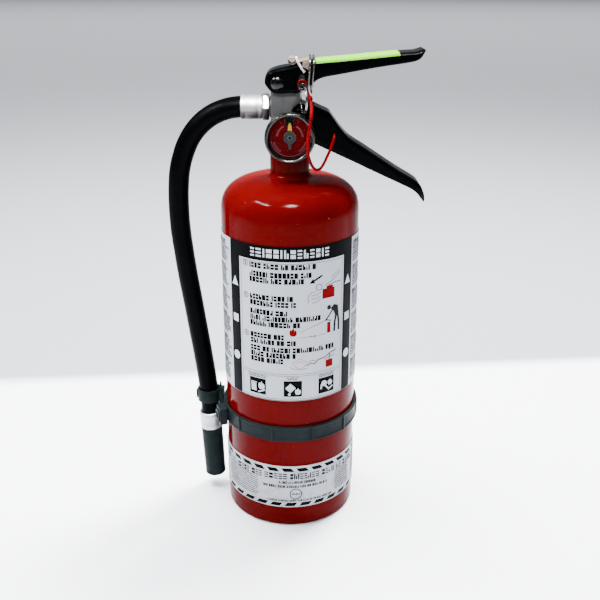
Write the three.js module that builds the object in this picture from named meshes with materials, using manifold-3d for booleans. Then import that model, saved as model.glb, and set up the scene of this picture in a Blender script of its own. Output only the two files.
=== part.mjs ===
// A hand-held dry-powder fire extinguisher, as an assembly of separate pieces.
// Units are millimetres, +Z is up and +X points along the lever. The pieces are drawn around the
// cylinder's own axis, and the whole group is then moved so that the object's box is centred on
// the origin, with its foot on Z = 0.

import * as THREE from 'three';
import { mergeVertices } from 'three/addons/utils/BufferGeometryUtils.js';
import Module from 'manifold-3d';

const wasm = await Module();
wasm.setup();

// ---- Driving dimensions -------------------------------------------------------------------

const GAP = 0.3; // air between two pieces that touch

// Cylinder
const CYLINDER_RADIUS = 54;
const WALL = 1.8;
const SHOULDER_Z = 260; // where the straight wall ends
const DOME_FULLNESS = 2.5; // the dome is a superellipse: 2 is an ellipse, more is squarer
const DOME_TOP_Z = 286.5;
const NECK_HOLE_RADIUS = 13.2;
const FOOT_INNER_RADIUS = 44;
const FOOT_ROUND = 2.4; // rounding between the foot and the wall
const DISH_RISE = 9; // how far the underside is dished in
const COLLAR_RADIUS = 15.2;
const COLLAR_TOP_Z = 304.2;

// Valve
const VALVE_Z = 283; // lower end of the threaded neck
const TOWER_LEFT_X = -14;
const TOWER_HALF_DEPTH = 10;
const CHAMBER_RADIUS = 5.5;
const SEAT_Z = 332;
const STEM_RADIUS = 2.2;
const STEM_TOP_Z = 360.7;

// Lever and carrying handle, both folded from sheet
const CHANNEL_WIDTH = 25;
const SHEET = 2;
const PIVOT = { x: -9.2, z: 356.8 };
const TIP_ROUND = 5;
const LEVER_TIP_X = 98.6;
const HANDLE_TIP_X = 104;
const HANDLE_RIVETS = [{ x: 8, z: 335.5 }, { x: 9.6, z: 312.4 }];

// Pull pin, its ring and the hole in the handle's cheeks that takes the tamper seal
const PIN = { x: 9.2, z: 356.5 };
const PIN_RADIUS = 1.9;
const PIN_FRONT_Y = -16.8;
const PIN_BACK_Y = 16.5;
const EYE = { y: -19.5, z: 355.4, radius: 2.9, wire: 0.9, tilt: 58 };
const PULL_RING = { radius: 9.7, wire: 0.9, lean: 27, turn: -12 };
const SEAL_HOLE = { x: 33.2, z: 319.6 };

// Pressure gauge, facing -Y
const GAUGE_Z = 319.7;
const GAUGE_RADIUS = 18.6;
const GAUGE_BACK_Y = -16.6;
const GAUGE_DEPTH = 12.4;
const GAUGE_PORT_RADIUS = 6.2;

// Hose
const HOSE_RADIUS = 8;
const HOSE_Z = 338.4;
const FERRULE_RADIUS = 9.2;
const HEX_OUTER_X = -20.1;
const HOSE_END = { x: -69.3, y: 10, z: 59.3 };
const NOZZLE_LEAN = 2.4; // degrees from upright
const NOZZLE_LENGTH = 47;

// Hose band around the cylinder
const BAND_RIBS = 11;
const BAND_TURN = 18; // azimuth of one rib, in degrees from the front
const BAND_INNER_RADIUS = 54.4;
const BAND_THICK = 2.4;
const BAND_Z = [81.8, 95.3];
const LOOP = { x: -70.4, y: 10, outer: 11, z: [86, 97] };

// Labels
const LABEL_THICK = 0.25;
const INSTRUCTION_Z = [118.2, 245];
const LOWER_LABEL_Z = [18.6, 58];

// ---- Finishes ------------------------------------------------------------------------------

const FINISH = {
  redPaint: { color: 0x9e1512, roughness: 0.28, metalness: 0 },
  blackPaint: { color: 0x0e0f11, roughness: 0.38, metalness: 0 },
  castAluminium: { color: 0x8c8c8a, roughness: 0.55, metalness: 0.7 },
  brightAluminium: { color: 0xd4d4d6, roughness: 0.3, metalness: 0.9 },
  steel: { color: 0xb9b9b6, roughness: 0.25, metalness: 1 },
  brass: { color: 0xb08d4f, roughness: 0.35, metalness: 1 },
  rubber: { color: 0x101214, roughness: 0.5, metalness: 0 },
  blackPlastic: { color: 0x161a1a, roughness: 0.5, metalness: 0 },
  whitePlastic: { color: 0xd8d8d2, roughness: 0.5, metalness: 0 },
  redPlastic: { color: 0xb5121f, roughness: 0.4, metalness: 0 },
  label: { color: 0xd9dce2, roughness: 0.45, metalness: 0 },
  dial: { color: 0x8f0d16, roughness: 0.5, metalness: 0 },
  pointer: { color: 0xe0a62a, roughness: 0.5, metalness: 0 },
  lens: { color: 0xf2f6f7, roughness: 0.05, metalness: 0, transparent: true, opacity: 0.3 },
  reflectiveTape: { color: 0xc8f04a, roughness: 0.45, metalness: 0 },
  kraftPaper: { color: 0xb79a7c, roughness: 0.85, metalness: 0 },
};

// ---- Shape helpers -------------------------------------------------------------------------

const degrees = THREE.MathUtils.degToRad;

// Welds a closed geometry's shared corners and drops the triangles that this folds flat.
function toSolid(geometry) {
  const bare = geometry.clone();
  bare.deleteAttribute('normal');
  bare.deleteAttribute('uv');
  const welded = mergeVertices(bare, 1e-4);
  const index = welded.index.array;
  const triangles = [];
  for (let i = 0; i < index.length; i += 3) {
    const [a, b, c] = index.slice(i, i + 3);
    if (a !== b && b !== c && c !== a) triangles.push(a, b, c);
  }
  return new wasm.Manifold(new wasm.Mesh({
    numProp: 3,
    vertProperties: new Float32Array(welded.attributes.position.array),
    triVerts: new Uint32Array(triangles),
  }));
}

// Joins the added shapes to the base, then cuts the others out of it.
function shape(base, { add = [], cut = [] } = {}) {
  let solid = toSolid(base);
  for (const extra of add) solid = solid.add(toSolid(extra));
  for (const tool of cut) solid = solid.subtract(toSolid(tool));
  return toGeometry(solid);
}

function common(first, second) {
  return toGeometry(toSolid(first).intersect(toSolid(second)));
}

function toGeometry(solid) {
  const mesh = solid.getMesh();
  const geometry = new THREE.BufferGeometry();
  geometry.setAttribute('position', new THREE.BufferAttribute(new Float32Array(mesh.vertProperties), 3));
  geometry.setIndex(new THREE.BufferAttribute(new Uint32Array(mesh.triVerts), 1));
  geometry.computeVertexNormals();
  return geometry;
}

// Turns a profile of [radius, z] points about Z. The points run anticlockwise around the section.
// A profile that doesn't start on the axis is closed on itself.
function turned(profile, segments = 24) {
  const points = profile.map(([r, z]) => new THREE.Vector2(r, z));
  if (profile[0][0] !== 0) points.push(points[0].clone());
  return new THREE.LatheGeometry(points, segments).rotateX(Math.PI / 2);
}

// A ring of rectangular section about Z.
function sleeve(inner, outer, z0, z1, segments = 24) {
  return turned([[inner, z0], [outer, z0], [outer, z1], [inner, z1]], segments);
}

// A solid round bar between two points.
function bar(radius, from, to, segments = 16) {
  const start = new THREE.Vector3(...from);
  const along = new THREE.Vector3(...to).sub(start);
  const up = new THREE.Vector3(0, 1, 0);
  const turn = new THREE.Quaternion().setFromUnitVectors(up, along.clone().normalize());
  return new THREE.CylinderGeometry(radius, radius, along.length(), segments)
    .applyQuaternion(turn)
    .translate(...start.add(along.multiplyScalar(0.5)));
}

// A cross bar along Y at one place of the side view.
function crossBar(radius, at, y0, y1, segments = 16) {
  return bar(radius, [at.x, y0, at.z], [at.x, y1, at.z], segments);
}

function block([x0, y0, z0], [x1, y1, z1]) {
  return new THREE.BoxGeometry(x1 - x0, y1 - y0, z1 - z0)
    .translate((x0 + x1) / 2, (y0 + y1) / 2, (z0 + z1) / 2);
}

function outline(points) {
  return new THREE.Shape(points.map(([u, v]) => new THREE.Vector2(u, v)));
}

// A side view in X and Z, drawn through from y0 to y1.
function sideCut(sideView, y0, y1) {
  return new THREE.ExtrudeGeometry(sideView, { depth: y1 - y0, bevelEnabled: false, curveSegments: 5 })
    .rotateX(Math.PI / 2)
    .translate(0, y1, 0);
}

// A plan view in X and Y, drawn up from z0 to z1.
function planCut(planView, z0, z1) {
  return new THREE.ExtrudeGeometry(planView, { depth: z1 - z0, bevelEnabled: false, curveSegments: 5 })
    .translate(0, 0, z0);
}

// A round wire or tube along a smooth curve through the points.
function wire(points, radius, { steps = 40, sides = 8 } = {}) {
  const curve = new THREE.CatmullRomCurve3(points.map((p) => new THREE.Vector3(...p)), false, 'centripetal');
  const section = new THREE.Shape().absarc(0, 0, radius, 0, 2 * Math.PI);
  return new THREE.ExtrudeGeometry(section, { steps, extrudePath: curve, curveSegments: sides / 2 });
}

function coil({ radius, z0, z1, turns, stepsPerTurn = 14 }) {
  const count = turns * stepsPerTurn;
  return Array.from({ length: count + 1 }, (_, i) => {
    const angle = (2 * Math.PI * i) / stepsPerTurn;
    return [radius * Math.cos(angle), radius * Math.sin(angle), z0 + ((z1 - z0) * i) / count];
  });
}

// Points moved square to a line of the side view, to its right-hand side.
function offsetLine(line, distance) {
  return line.map((point, i) => {
    const before = line[Math.max(i - 1, 0)];
    const after = line[Math.min(i + 1, line.length - 1)];
    const along = new THREE.Vector2(after[0] - before[0], after[1] - before[1]).normalize();
    return [point[0] + along.y * distance, point[1] - along.x * distance];
  });
}

// A sheet folded into a channel that is open below. The web follows the top line, from left to
// right, and the two cheeks reach down to the bottom line, also from left to right.
function channel(topLine, bottomLine, tipRound) {
  const half = CHANNEL_WIDTH / 2;
  const whole = sideCut(outline([...bottomLine, ...topLine.toReversed()]), -half, half);
  const web = offsetLine(topLine, SHEET);
  const below = bottomLine.map(([x, z]) => [x, z - 30]);
  const inside = sideCut(outline([...below, ...web.toReversed()]), -half + SHEET, half - SHEET);
  const xs = topLine.map(([x]) => x);
  const plan = new THREE.Shape()
    .moveTo(Math.min(...xs) - 1, -half)
    .lineTo(Math.max(...xs) - tipRound, -half)
    .absarc(Math.max(...xs) - tipRound, -half + tipRound, tipRound, -Math.PI / 2, 0)
    .absarc(Math.max(...xs) - tipRound, half - tipRound, tipRound, 0, Math.PI / 2)
    .lineTo(Math.min(...xs) - 1, half);
  const lowest = Math.min(...bottomLine.map(([, z]) => z)) - 1;
  const highest = Math.max(...topLine.map(([, z]) => z)) + 1;
  return common(shape(whole, { cut: [inside] }), planCut(plan, lowest, highest));
}

function piece(name, geometry, finish) {
  const mesh = new THREE.Mesh(geometry, new THREE.MeshStandardMaterial(FINISH[finish]));
  mesh.name = name;
  return mesh;
}

// ---- Cylinder ------------------------------------------------------------------------------

// A deep-drawn steel vessel with a dished underside and an open neck.
function cylinderShell() {
  const steps = (count) => Array.from({ length: count + 1 }, (_, i) => i / count);
  const arc = (centreR, centreZ, radiusR, radiusZ, from, to, count) => steps(count).map((t) => {
    const angle = degrees(from + (to - from) * t);
    return [centreR + radiusR * Math.cos(angle), centreZ + radiusZ * Math.sin(angle)];
  });
  const dome = (inset, count) => steps(count).map((t) => {
    const neckR = NECK_HOLE_RADIUS + 2;
    const across = Math.cos((Math.PI / 2) * t) ** (2 / DOME_FULLNESS);
    const up = Math.sin((Math.PI / 2) * t) ** (2 / DOME_FULLNESS);
    return [
      neckR + (CYLINDER_RADIUS - neckR - inset) * across,
      SHOULDER_Z + (DOME_TOP_Z - SHOULDER_Z - inset) * up,
    ];
  });
  const dish = (r) => DISH_RISE * (1 - (r / FOOT_INNER_RADIUS) ** 2);
  const dishRadii = [0, 17, 32];
  const profile = [
    ...dishRadii.map((r) => [r, dish(r)]),
    [FOOT_INNER_RADIUS, 0],
    ...arc(CYLINDER_RADIUS - FOOT_ROUND, FOOT_ROUND, FOOT_ROUND, FOOT_ROUND, -90, 0, 3),
    ...dome(0, 8),
    [NECK_HOLE_RADIUS, DOME_TOP_Z],
    [NECK_HOLE_RADIUS, DOME_TOP_Z - WALL],
    ...dome(WALL, 6).toReversed(),
    ...arc(CYLINDER_RADIUS - FOOT_ROUND, FOOT_ROUND, FOOT_ROUND - WALL, FOOT_ROUND - WALL, 0, -90, 2),
    [FOOT_INNER_RADIUS, WALL],
    ...dishRadii.toReversed().map((r) => [r, dish(r) + WALL]),
  ];
  return piece('cylinder_shell', shape(turned(profile, 48)), 'redPaint');
}

// The welded neck ring that the valve screws into, with a spigot in the shell's hole.
function neckCollar() {
  const ring = turned([
    [10.1, 281], [NECK_HOLE_RADIUS - 0.4, 281],
    [NECK_HOLE_RADIUS - 0.4, DOME_TOP_Z + GAP], [COLLAR_RADIUS + 1, DOME_TOP_Z + GAP],
    [COLLAR_RADIUS, DOME_TOP_Z + 2.5], [COLLAR_RADIUS, COLLAR_TOP_Z - 1],
    [COLLAR_RADIUS - 1, COLLAR_TOP_Z], [12.2, COLLAR_TOP_Z], [12.2, COLLAR_TOP_Z - 2.4],
    [10.1, COLLAR_TOP_Z - 2.4],
  ]);
  return piece('neck_collar', shape(ring), 'redPaint');
}

// The O-ring between the valve's flange and the collar.
function collarSeal() {
  const seal = new THREE.TorusGeometry(11.05, 0.85, 6, 28).translate(0, 0, COLLAR_TOP_Z - 1.2);
  return piece('collar_seal', seal, 'rubber');
}

// ---- Valve ---------------------------------------------------------------------------------

// The cast body: threaded neck, flange, tower with two lugs on top, a gauge port in front and
// a hose port on the left.
function valveBody() {
  const flangeZ = COLLAR_TOP_Z + GAP;
  const tower = outline([
    [TOWER_LEFT_X, flangeZ + 3], [12, flangeZ + 3], [12, 340], [9, 343], [9, 350],
    [13.4, 355.5], [13.4, 361.6], [11.6, 363.4], [7, 363.4], [5.4, 361.8],
    [5.4, 352], [-3.6, 352], [-3.6, 361], [-5.5, 363], [-12, 363], [TOWER_LEFT_X, 360.5],
  ]);
  const body = shape(sideCut(tower, -TOWER_HALF_DEPTH, TOWER_HALF_DEPTH), {
    add: [
      bar(9.8, [0, 0, VALVE_Z], [0, 0, flangeZ + 1], 28),
      bar(15, [0, 0, flangeZ], [0, 0, flangeZ + 4], 36),
      bar(GAUGE_PORT_RADIUS, [0, -9, GAUGE_Z], [0, -13, GAUGE_Z], 28),
      bar(8, [TOWER_LEFT_X + 1, 0, HOSE_Z], [TOWER_LEFT_X - 1.1, 0, HOSE_Z], 28),
    ],
    cut: [
      bar(CHAMBER_RADIUS, [0, 0, VALVE_Z - 1], [0, 0, SEAT_Z]),
      bar(3.2, [0, 0, SEAT_Z - 1], [0, 0, SEAT_Z + 3]),
      bar(4.5, [0, 0, SEAT_Z + 2], [0, 0, 344]),
      bar(STEM_RADIUS + GAP, [0, 0, 343], [0, 0, 353]),
      bar(3.9, [0, 0, 346.5], [0, 0, 349.5]),
      bar(5, [0, -14, GAUGE_Z], [0, -7, GAUGE_Z]),
      bar(1.6, [0, -8, GAUGE_Z], [0, 0, GAUGE_Z], 12),
      bar(4, [TOWER_LEFT_X - 2, 0, HOSE_Z], [-10, 0, HOSE_Z]),
      bar(3, [-11, 0, HOSE_Z], [0, 0, HOSE_Z], 16),
      crossBar(3.3, PIVOT, -11, 11),
      crossBar(PIN_RADIUS + 0.4, PIN, -11, 11),
      ...HANDLE_RIVETS.map((at) => crossBar(2.2, at, -11, 11, 16)),
    ],
  });
  return piece('valve_body', body, 'castAluminium');
}

// The plastic dip tube that carries powder up to the valve.
function siphonTube() {
  const tube = shape(sleeve(3.9, 5, 15, 275.7, 24), {
    cut: [sideCut(outline([[-6, 14], [6, 14], [6, 16], [-6, 24]]), -6, 6)],
  });
  return piece('siphon_tube', tube, 'whitePlastic');
}

// The plug in the foot of the valve: it holds the dip tube below and the spring above.
function siphonAdaptor() {
  const plug = turned([
    [2.4, 262], [3.6, 262], [3.6, 276], [7.5, 276], [7.5, VALVE_Z - GAP],
    [CHAMBER_RADIUS - GAP, VALVE_Z - GAP], [CHAMBER_RADIUS - GAP, 300], [2.4, 300],
  ], 24);
  return piece('siphon_adaptor', plug, 'brass');
}

// The stem with its seal carrier below the seat and a domed top under the lever's pad.
function valveStem() {
  const domeSteps = 5;
  const dome = Array.from({ length: domeSteps + 1 }, (_, i) => {
    const angle = (Math.PI / 2) * (i / domeSteps);
    const r = i === domeSteps ? 0 : STEM_RADIUS * Math.cos(angle);
    return [r, STEM_TOP_Z - STEM_RADIUS + STEM_RADIUS * Math.sin(angle)];
  });
  const carrierZ = SEAT_Z - 6;
  const profile = [
    [0, carrierZ], [4.9, carrierZ], [4.9, carrierZ + 3.4], [STEM_RADIUS, carrierZ + 3.4],
    ...dome,
  ];
  return piece('valve_stem', shape(turned(profile, 24)), 'brass');
}

function seatSeal() {
  return piece('seat_seal', sleeve(STEM_RADIUS + GAP, 4.9, SEAT_Z - 2.3, SEAT_Z - GAP, 24), 'rubber');
}

function stemSeal() {
  const seal = new THREE.TorusGeometry(3.15, 0.55, 6, 16).translate(0, 0, 348);
  return piece('stem_seal', seal, 'rubber');
}

function stemSpring() {
  const turns = coil({ radius: 3.7, z0: 301, z1: 325, turns: 6, stepsPerTurn: 10 });
  return piece('stem_spring', wire(turns, 0.5, { steps: 54, sides: 6 }), 'steel');
}

// ---- Lever and carrying handle -------------------------------------------------------------

// The squeeze lever. Its cheeks have a round hole for the pivot and a curved slot for the pin,
// struck from the pivot, and a pad under its web rests just above the stem.
function dischargeLever() {
  const topLine = [
    [-18.4, 357.7], [-17.4, 361.8], [-14.8, 364.8], [-11, 366.6], [-0.5, 369], [16.5, 372.4],
    [47, 375.2], [80, 378.4], [94, 379.8], [97.2, 381], [LEVER_TIP_X, 378.9],
  ];
  const bottomLine = [
    [-18.4, 357.5], [-11.2, 349.5], [7.5, 350.4], [11.9, 353.6], [17.2, 356.9], [20, 359.2], [24.2, 361],
    [36.5, 363.3], [65.3, 368.4], [88.3, 371.8], [91.6, 372.8], [95.3, 375], [97.6, 377.4],
  ];
  const reach = Math.hypot(PIN.x - PIVOT.x, PIN.z - PIVOT.z);
  const rest = Math.atan2(PIN.z - PIVOT.z, PIN.x - PIVOT.x);
  const travel = degrees(14.5);
  const halfSlot = PIN_RADIUS + 0.5;
  const slotEnd = (angle) => ({
    x: PIVOT.x + reach * Math.cos(angle),
    z: PIVOT.z + reach * Math.sin(angle),
  });
  const top = slotEnd(rest + travel);
  const slotSides = new THREE.Shape()
    .absarc(PIVOT.x, PIVOT.z, reach + halfSlot, rest, rest + travel)
    .absarc(PIVOT.x, PIVOT.z, reach - halfSlot, rest + travel, rest, true);
  const half = CHANNEL_WIDTH / 2 + 1;
  const lever = shape(channel(topLine, bottomLine, TIP_ROUND), {
    add: [sideCut(outline([[-3, 361], [2.5, 361], [2.5, 368.6], [-3, 367.4]]), -5, 5)],
    cut: [
      crossBar(3.4, PIVOT, -half, half),
      crossBar(halfSlot, PIN, -half, half),
      crossBar(halfSlot, top, -half, half),
      sideCut(slotSides, -half, half),
    ],
  });
  return piece('discharge_lever', lever, 'blackPaint');
}

// Reflective tape along the top of the lever.
function leverTape() {
  const lower = [[18, 373.1], [47, 375.5 + GAP], [80, 378.7 + GAP]];
  const upper = lower.map(([x, z]) => [x, z + 0.3]);
  const strip = sideCut(outline([...lower, ...upper.toReversed()]), -11.5, 11.5);
  return piece('lever_tape', strip, 'reflectiveTape');
}

// A headed rivet through the tower and both cheeks.
function rivet(name, at, shank, head, finish) {
  const cheek = CHANNEL_WIDTH / 2 + GAP;
  const headDepth = 2.2;
  const button = turned([[0, 0], [head, 0], [head * 0.82, headDepth * 0.65], [0, headDepth]], 24);
  const front = button.clone().rotateX(Math.PI / 2).translate(at.x, -cheek, at.z);
  const back = button.clone().rotateX(-Math.PI / 2).translate(at.x, cheek, at.z);
  return piece(name, shape(crossBar(shank, at, -cheek - 0.1, cheek + 0.1), { add: [front, back] }), finish);
}

// The fixed handle that carries the extinguisher, riveted to the tower at its left end.
function carryHandle() {
  const topLine = [
    [18, 340.6], [29.6, 335.4], [32.4, 331.4], [43.6, 317.8],
    [69, 301], [97.2, 283.3], [100.6, 279.6], [102.2, 276], [103.8, 272.8], [HANDLE_TIP_X, 270],
  ];
  const bottomLine = [
    [18, 313.2], [53, 296.9], [78.4, 285], [90.7, 279.1], [96.5, 275.3], [99.8, 271.6], [102.4, 267.4],
  ];
  const ear = new THREE.Shape()
    .moveTo(6.5, 308.9)
    .lineTo(15, 308.9)
    .lineTo(18.6, 312.6)
    .lineTo(20, 339.6)
    .lineTo(18, 340.6)
    .lineTo(12.5, 340.8)
    .absarc(HANDLE_RIVETS[0].x, HANDLE_RIVETS[0].z, 6.8, degrees(52), degrees(180))
    .lineTo(1.2, 325);
  const half = CHANNEL_WIDTH / 2;
  const handle = shape(channel(topLine, bottomLine, TIP_ROUND), {
    add: [sideCut(ear, -half, -half + SHEET), sideCut(ear, half - SHEET, half)],
    cut: [
      ...HANDLE_RIVETS.map((at) => crossBar(2.2, at, -half - 1, half + 1, 16)),
      crossBar(2, SEAL_HOLE, -half - 1, half + 1, 16),
      bar(GAUGE_PORT_RADIUS + 0.5, [0, -half - 1, GAUGE_Z], [0, -TOWER_HALF_DEPTH, GAUGE_Z]),
    ],
  });
  return piece('carry_handle', handle, 'blackPaint');
}

// ---- Pull pin, its ring, the tamper seal and the tag's remains ------------------------------

// A straight pin that ends in a tilted eye.
function pullPin() {
  const eye = new THREE.TorusGeometry(EYE.radius, EYE.wire, 8, 18)
    .rotateX(degrees(90 - EYE.tilt))
    .translate(PIN.x, EYE.y, EYE.z);
  const shank = crossBar(PIN_RADIUS, PIN, PIN_FRONT_Y, PIN_BACK_Y, 20);
  return piece('pull_pin', shape(shank, { add: [eye] }), 'steel');
}

// The ring hangs through the eye, in an upright plane, and leans out from the eye.
function pullRing() {
  const lean = degrees(PULL_RING.lean);
  const ring = new THREE.TorusGeometry(PULL_RING.radius, PULL_RING.wire, 6, 28)
    .rotateY(Math.PI / 2)
    .translate(0, -PULL_RING.radius * Math.sin(lean), -PULL_RING.radius * Math.cos(lean))
    .rotateZ(degrees(-PULL_RING.turn))
    .translate(PIN.x, EYE.y, EYE.z);
  return piece('pull_ring', ring, 'steel');
}

// A thin moulded tie from the pin's shank down to the hole in the handle's front cheek.
function tamperSeal() {
  const loop = new THREE.TorusGeometry(PIN_RADIUS + 1.05, 0.75, 6, 12)
    .rotateX(Math.PI / 2)
    .translate(PIN.x, -14.4, PIN.z);
  const run = [
    [PIN.x + 2, -14.5, PIN.z - 2.2], [12.2, -16.6, 352], [13.6, -17.8, 349.4], [14.8, -19, 347],
    [15.7, -23, 342.4], [15.5, -28.6, 337.4], [14.6, -31.2, 330.4],
    [13.2, -31.4, 321], [12.8, -31.2, 313.4], [14, -30.4, 306],
    [16.8, -28, 299.2], [20, -25, 296], [23.2, -22.4, 297], [27.4, -19.6, 304], [30.8, -17.4, 312],
    [32.8, -15.6, 318], [SEAL_HOLE.x, -13.4, SEAL_HOLE.z], [SEAL_HOLE.x, -10.6, SEAL_HOLE.z],
  ];
  const bead = new THREE.SphereGeometry(1.9, 10, 6).translate(14.8, -19, 347);
  const cord = wire(run, 1.1, { steps: 38, sides: 6 });
  return piece('tamper_seal', shape(cord, { add: [loop, bead] }), 'redPlastic');
}

// The wire loop that a service tag hung on: it passes right round the lever.
function tagRing() {
  const halfWidth = 15.2;
  const halfHeight = 12.6;
  const corner = 5;
  const loopShape = (inset) => {
    const w = halfWidth - inset;
    const h = halfHeight - inset;
    const r = corner - inset;
    return new THREE.Shape()
      .absarc(w - r, h - r, r, 0, Math.PI / 2)
      .absarc(r - w, h - r, r, Math.PI / 2, Math.PI)
      .absarc(r - w, r - h, r, Math.PI, 1.5 * Math.PI)
      .absarc(w - r, r - h, r, 1.5 * Math.PI, 2 * Math.PI);
  };
  const band = loopShape(0);
  band.holes.push(loopShape(1.2));
  const width = 2.6;
  const loop = new THREE.ExtrudeGeometry(band, { depth: width, bevelEnabled: false, curveSegments: 5 })
    .translate(0, 0, -width / 2)
    .rotateX(Math.PI / 2)
    .rotateZ(Math.PI / 2)
    .rotateY(degrees(4))
    .translate(15.5, 0, 362.4);
  return piece('tag_ring', shape(loop), 'steel');
}

// What is left of the tag: a torn kraft-paper sleeve that curls up at its left end.
function tagStub() {
  const curlSteps = 9;
  const curl = Array.from({ length: curlSteps + 1 }, (_, i) => {
    const angle = degrees(-90 - (300 * i) / curlSteps);
    const radius = 3.2 - 0.09 * i;
    return [1.9 + radius * Math.cos(angle), 373.3 + radius * Math.sin(angle)];
  });
  const line = [[13.4, 373.6], [7, 372.2], ...curl];
  const inner = offsetLine(line, 0.7);
  return piece('tag_stub', sideCut(outline([...inner, ...line.toReversed()]), -12.2, 5), 'kraftPaper');
}

// The twist of wire between the stub and the ring.
function tagWire() {
  const run = [
    [5.6, -9.5, 375.2], [5.4, -12.6, 373.8], [7.4, -13.9, 369.6], [9.4, -14, 367], [10.7, -14, 365.2],
  ];
  return piece('tag_wire', wire(run, 0.8, { steps: 14, sides: 6 }), 'steel');
}

// ---- Pressure gauge ------------------------------------------------------------------------

// Gauge pieces are drawn about Z, with Z = 0 at the case's back and the dial towards +Z.
function gauge() {
  const group = new THREE.Group();
  const glassZ = GAUGE_DEPTH - 2.4;
  const dialZ = 6.6;
  const caseRadius = GAUGE_RADIUS - 1.4;
  const cup = turned([
    [3.4, 0], [caseRadius - 2, 0], [caseRadius, 2], [caseRadius, glassZ - GAP],
    [caseRadius - 1, glassZ - GAP], [caseRadius - 1, 2.4], [caseRadius - 2.4, 1], [3.4, 1],
  ]);
  const bezel = turned([
    [GAUGE_RADIUS - 1.1, 5], [GAUGE_RADIUS - 0.4, 5], [GAUGE_RADIUS, 6], [GAUGE_RADIUS, GAUGE_DEPTH - 1.4],
    [GAUGE_RADIUS - 1.2, GAUGE_DEPTH], [GAUGE_RADIUS - 2.4, GAUGE_DEPTH],
    [GAUGE_RADIUS - 3, GAUGE_DEPTH - 0.9],
    [GAUGE_RADIUS - 1.1, GAUGE_DEPTH - 1],
  ]);
  const lens = turned([
    [0, glassZ], [GAUGE_RADIUS - 1.5, glassZ], [GAUGE_RADIUS - 1.5, glassZ + 1], [0, glassZ + 1],
  ]);
  const bourdon = wire(coil({ radius: 8.5, z0: 2.4, z1: 5.2, turns: 1 }), 0.8, { steps: 24, sides: 6 });
  group.add(
    piece('gauge_case', shape(cup), 'steel'),
    piece('bourdon_tube', bourdon, 'brass'),
    piece('gauge_dial', sleeve(1.2, caseRadius - 1.4, dialZ, dialZ + 0.6), 'dial'),
    piece('gauge_lens', shape(lens), 'lens'),
    piece('gauge_bezel', shape(bezel), 'steel'),
    piece('gauge_needle', gaugeNeedle(dialZ + 1), 'pointer'),
    piece('gauge_stem', gaugeStem(), 'brass'),
  );
  group.position.set(0, GAUGE_BACK_Y, GAUGE_Z);
  group.rotation.x = Math.PI / 2;
  return group;
}

// The pointer on its spindle, which passes back through the dial. Local +Y is up once mounted.
function gaugeNeedle(z) {
  const tailLength = 5;
  const tipLength = 10.8;
  const sides = [[-1.1, -tailLength], [1.1, -tailLength], [0.7, tipLength], [-0.7, tipLength]];
  const blade = planCut(outline(sides), z, z + 0.6);
  return shape(blade, {
    add: [bar(0.8, [0, 0, z - 2.4], [0, 0, z + 1], 12), bar(2.3, [0, 0, z], [0, 0, z + 1.1])],
  });
}

// The threaded socket between the valve's port and the case, with a square neck for a spanner.
function gaugeStem() {
  const port = -GAUGE_BACK_Y - 7.3; // how far the thread reaches back into the valve
  return shape(bar(4.7, [0, 0, -port], [0, 0, -1]), {
    add: [block([-5.2, -5.2, -3.3], [5.2, 5.2, -GAP]), bar(3.1, [0, 0, -1], [0, 0, 3.6])],
    cut: [bar(1.4, [0, 0, -port - 1], [0, 0, 3], 12)],
  });
}

// ---- Hose ----------------------------------------------------------------------------------

// The hexagon fitting that screws into the valve's hose port.
function hoseFitting() {
  const hexagon = new THREE.CylinderGeometry(10.6, 10.6, 4.7, 6)
    .rotateZ(Math.PI / 2)
    .translate(HEX_OUTER_X + 2.35, 0, HOSE_Z);
  const fitting = shape(hexagon, {
    add: [bar(3.7, [HEX_OUTER_X + 1, 0, HOSE_Z], [-10.3, 0, HOSE_Z])],
    cut: [bar(2.4, [HEX_OUTER_X - 1, 0, HOSE_Z], [-9, 0, HOSE_Z], 16)],
  });
  return piece('hose_fitting', fitting, 'brightAluminium');
}

// The crimped sleeve over the hose's upper end.
function upperFerrule() {
  const length = 16.2;
  const crimped = turned([
    [HOSE_RADIUS + GAP, 0], [FERRULE_RADIUS - 0.2, 0], [FERRULE_RADIUS, 0.6], [FERRULE_RADIUS, length - 0.6],
    [FERRULE_RADIUS - 0.2, length], [HOSE_RADIUS + GAP, length],
  ]).rotateY(Math.PI / 2).translate(HEX_OUTER_X - GAP - length, 0, HOSE_Z);
  return piece('upper_ferrule', crimped, 'brightAluminium');
}

// The hose: a moulded bend out of the valve, then a long run down beside the cylinder.
function hose() {
  const route = [
    [-20.6, 0, 338.4], [-29, 0, 338.4], [-38, 0, 338.2], [-46, 0, 337], [-54, 0.1, 334.3],
    [-62, 0.3, 329.8], [-69.6, 0.5, 323.1], [-76, 0.9, 314.4], [-81, 1.3, 303.7], [-84.9, 1.8, 290],
    [-86.8, 2.5, 273.5], [-87.3, 3.3, 257], [-86.8, 4.1, 240.5], [-85.3, 5, 223], [-83.1, 6, 202],
    [-80.1, 7.1, 179], [-76.8, 8.3, 152], [-73.4, 9.3, 124], [-70.9, 9.8, 100], [-69.8, 10, 80],
    [HOSE_END.x, HOSE_END.y, HOSE_END.z],
  ];
  return piece('hose', wire(route, HOSE_RADIUS, { steps: 40, sides: 10 }), 'rubber');
}

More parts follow.
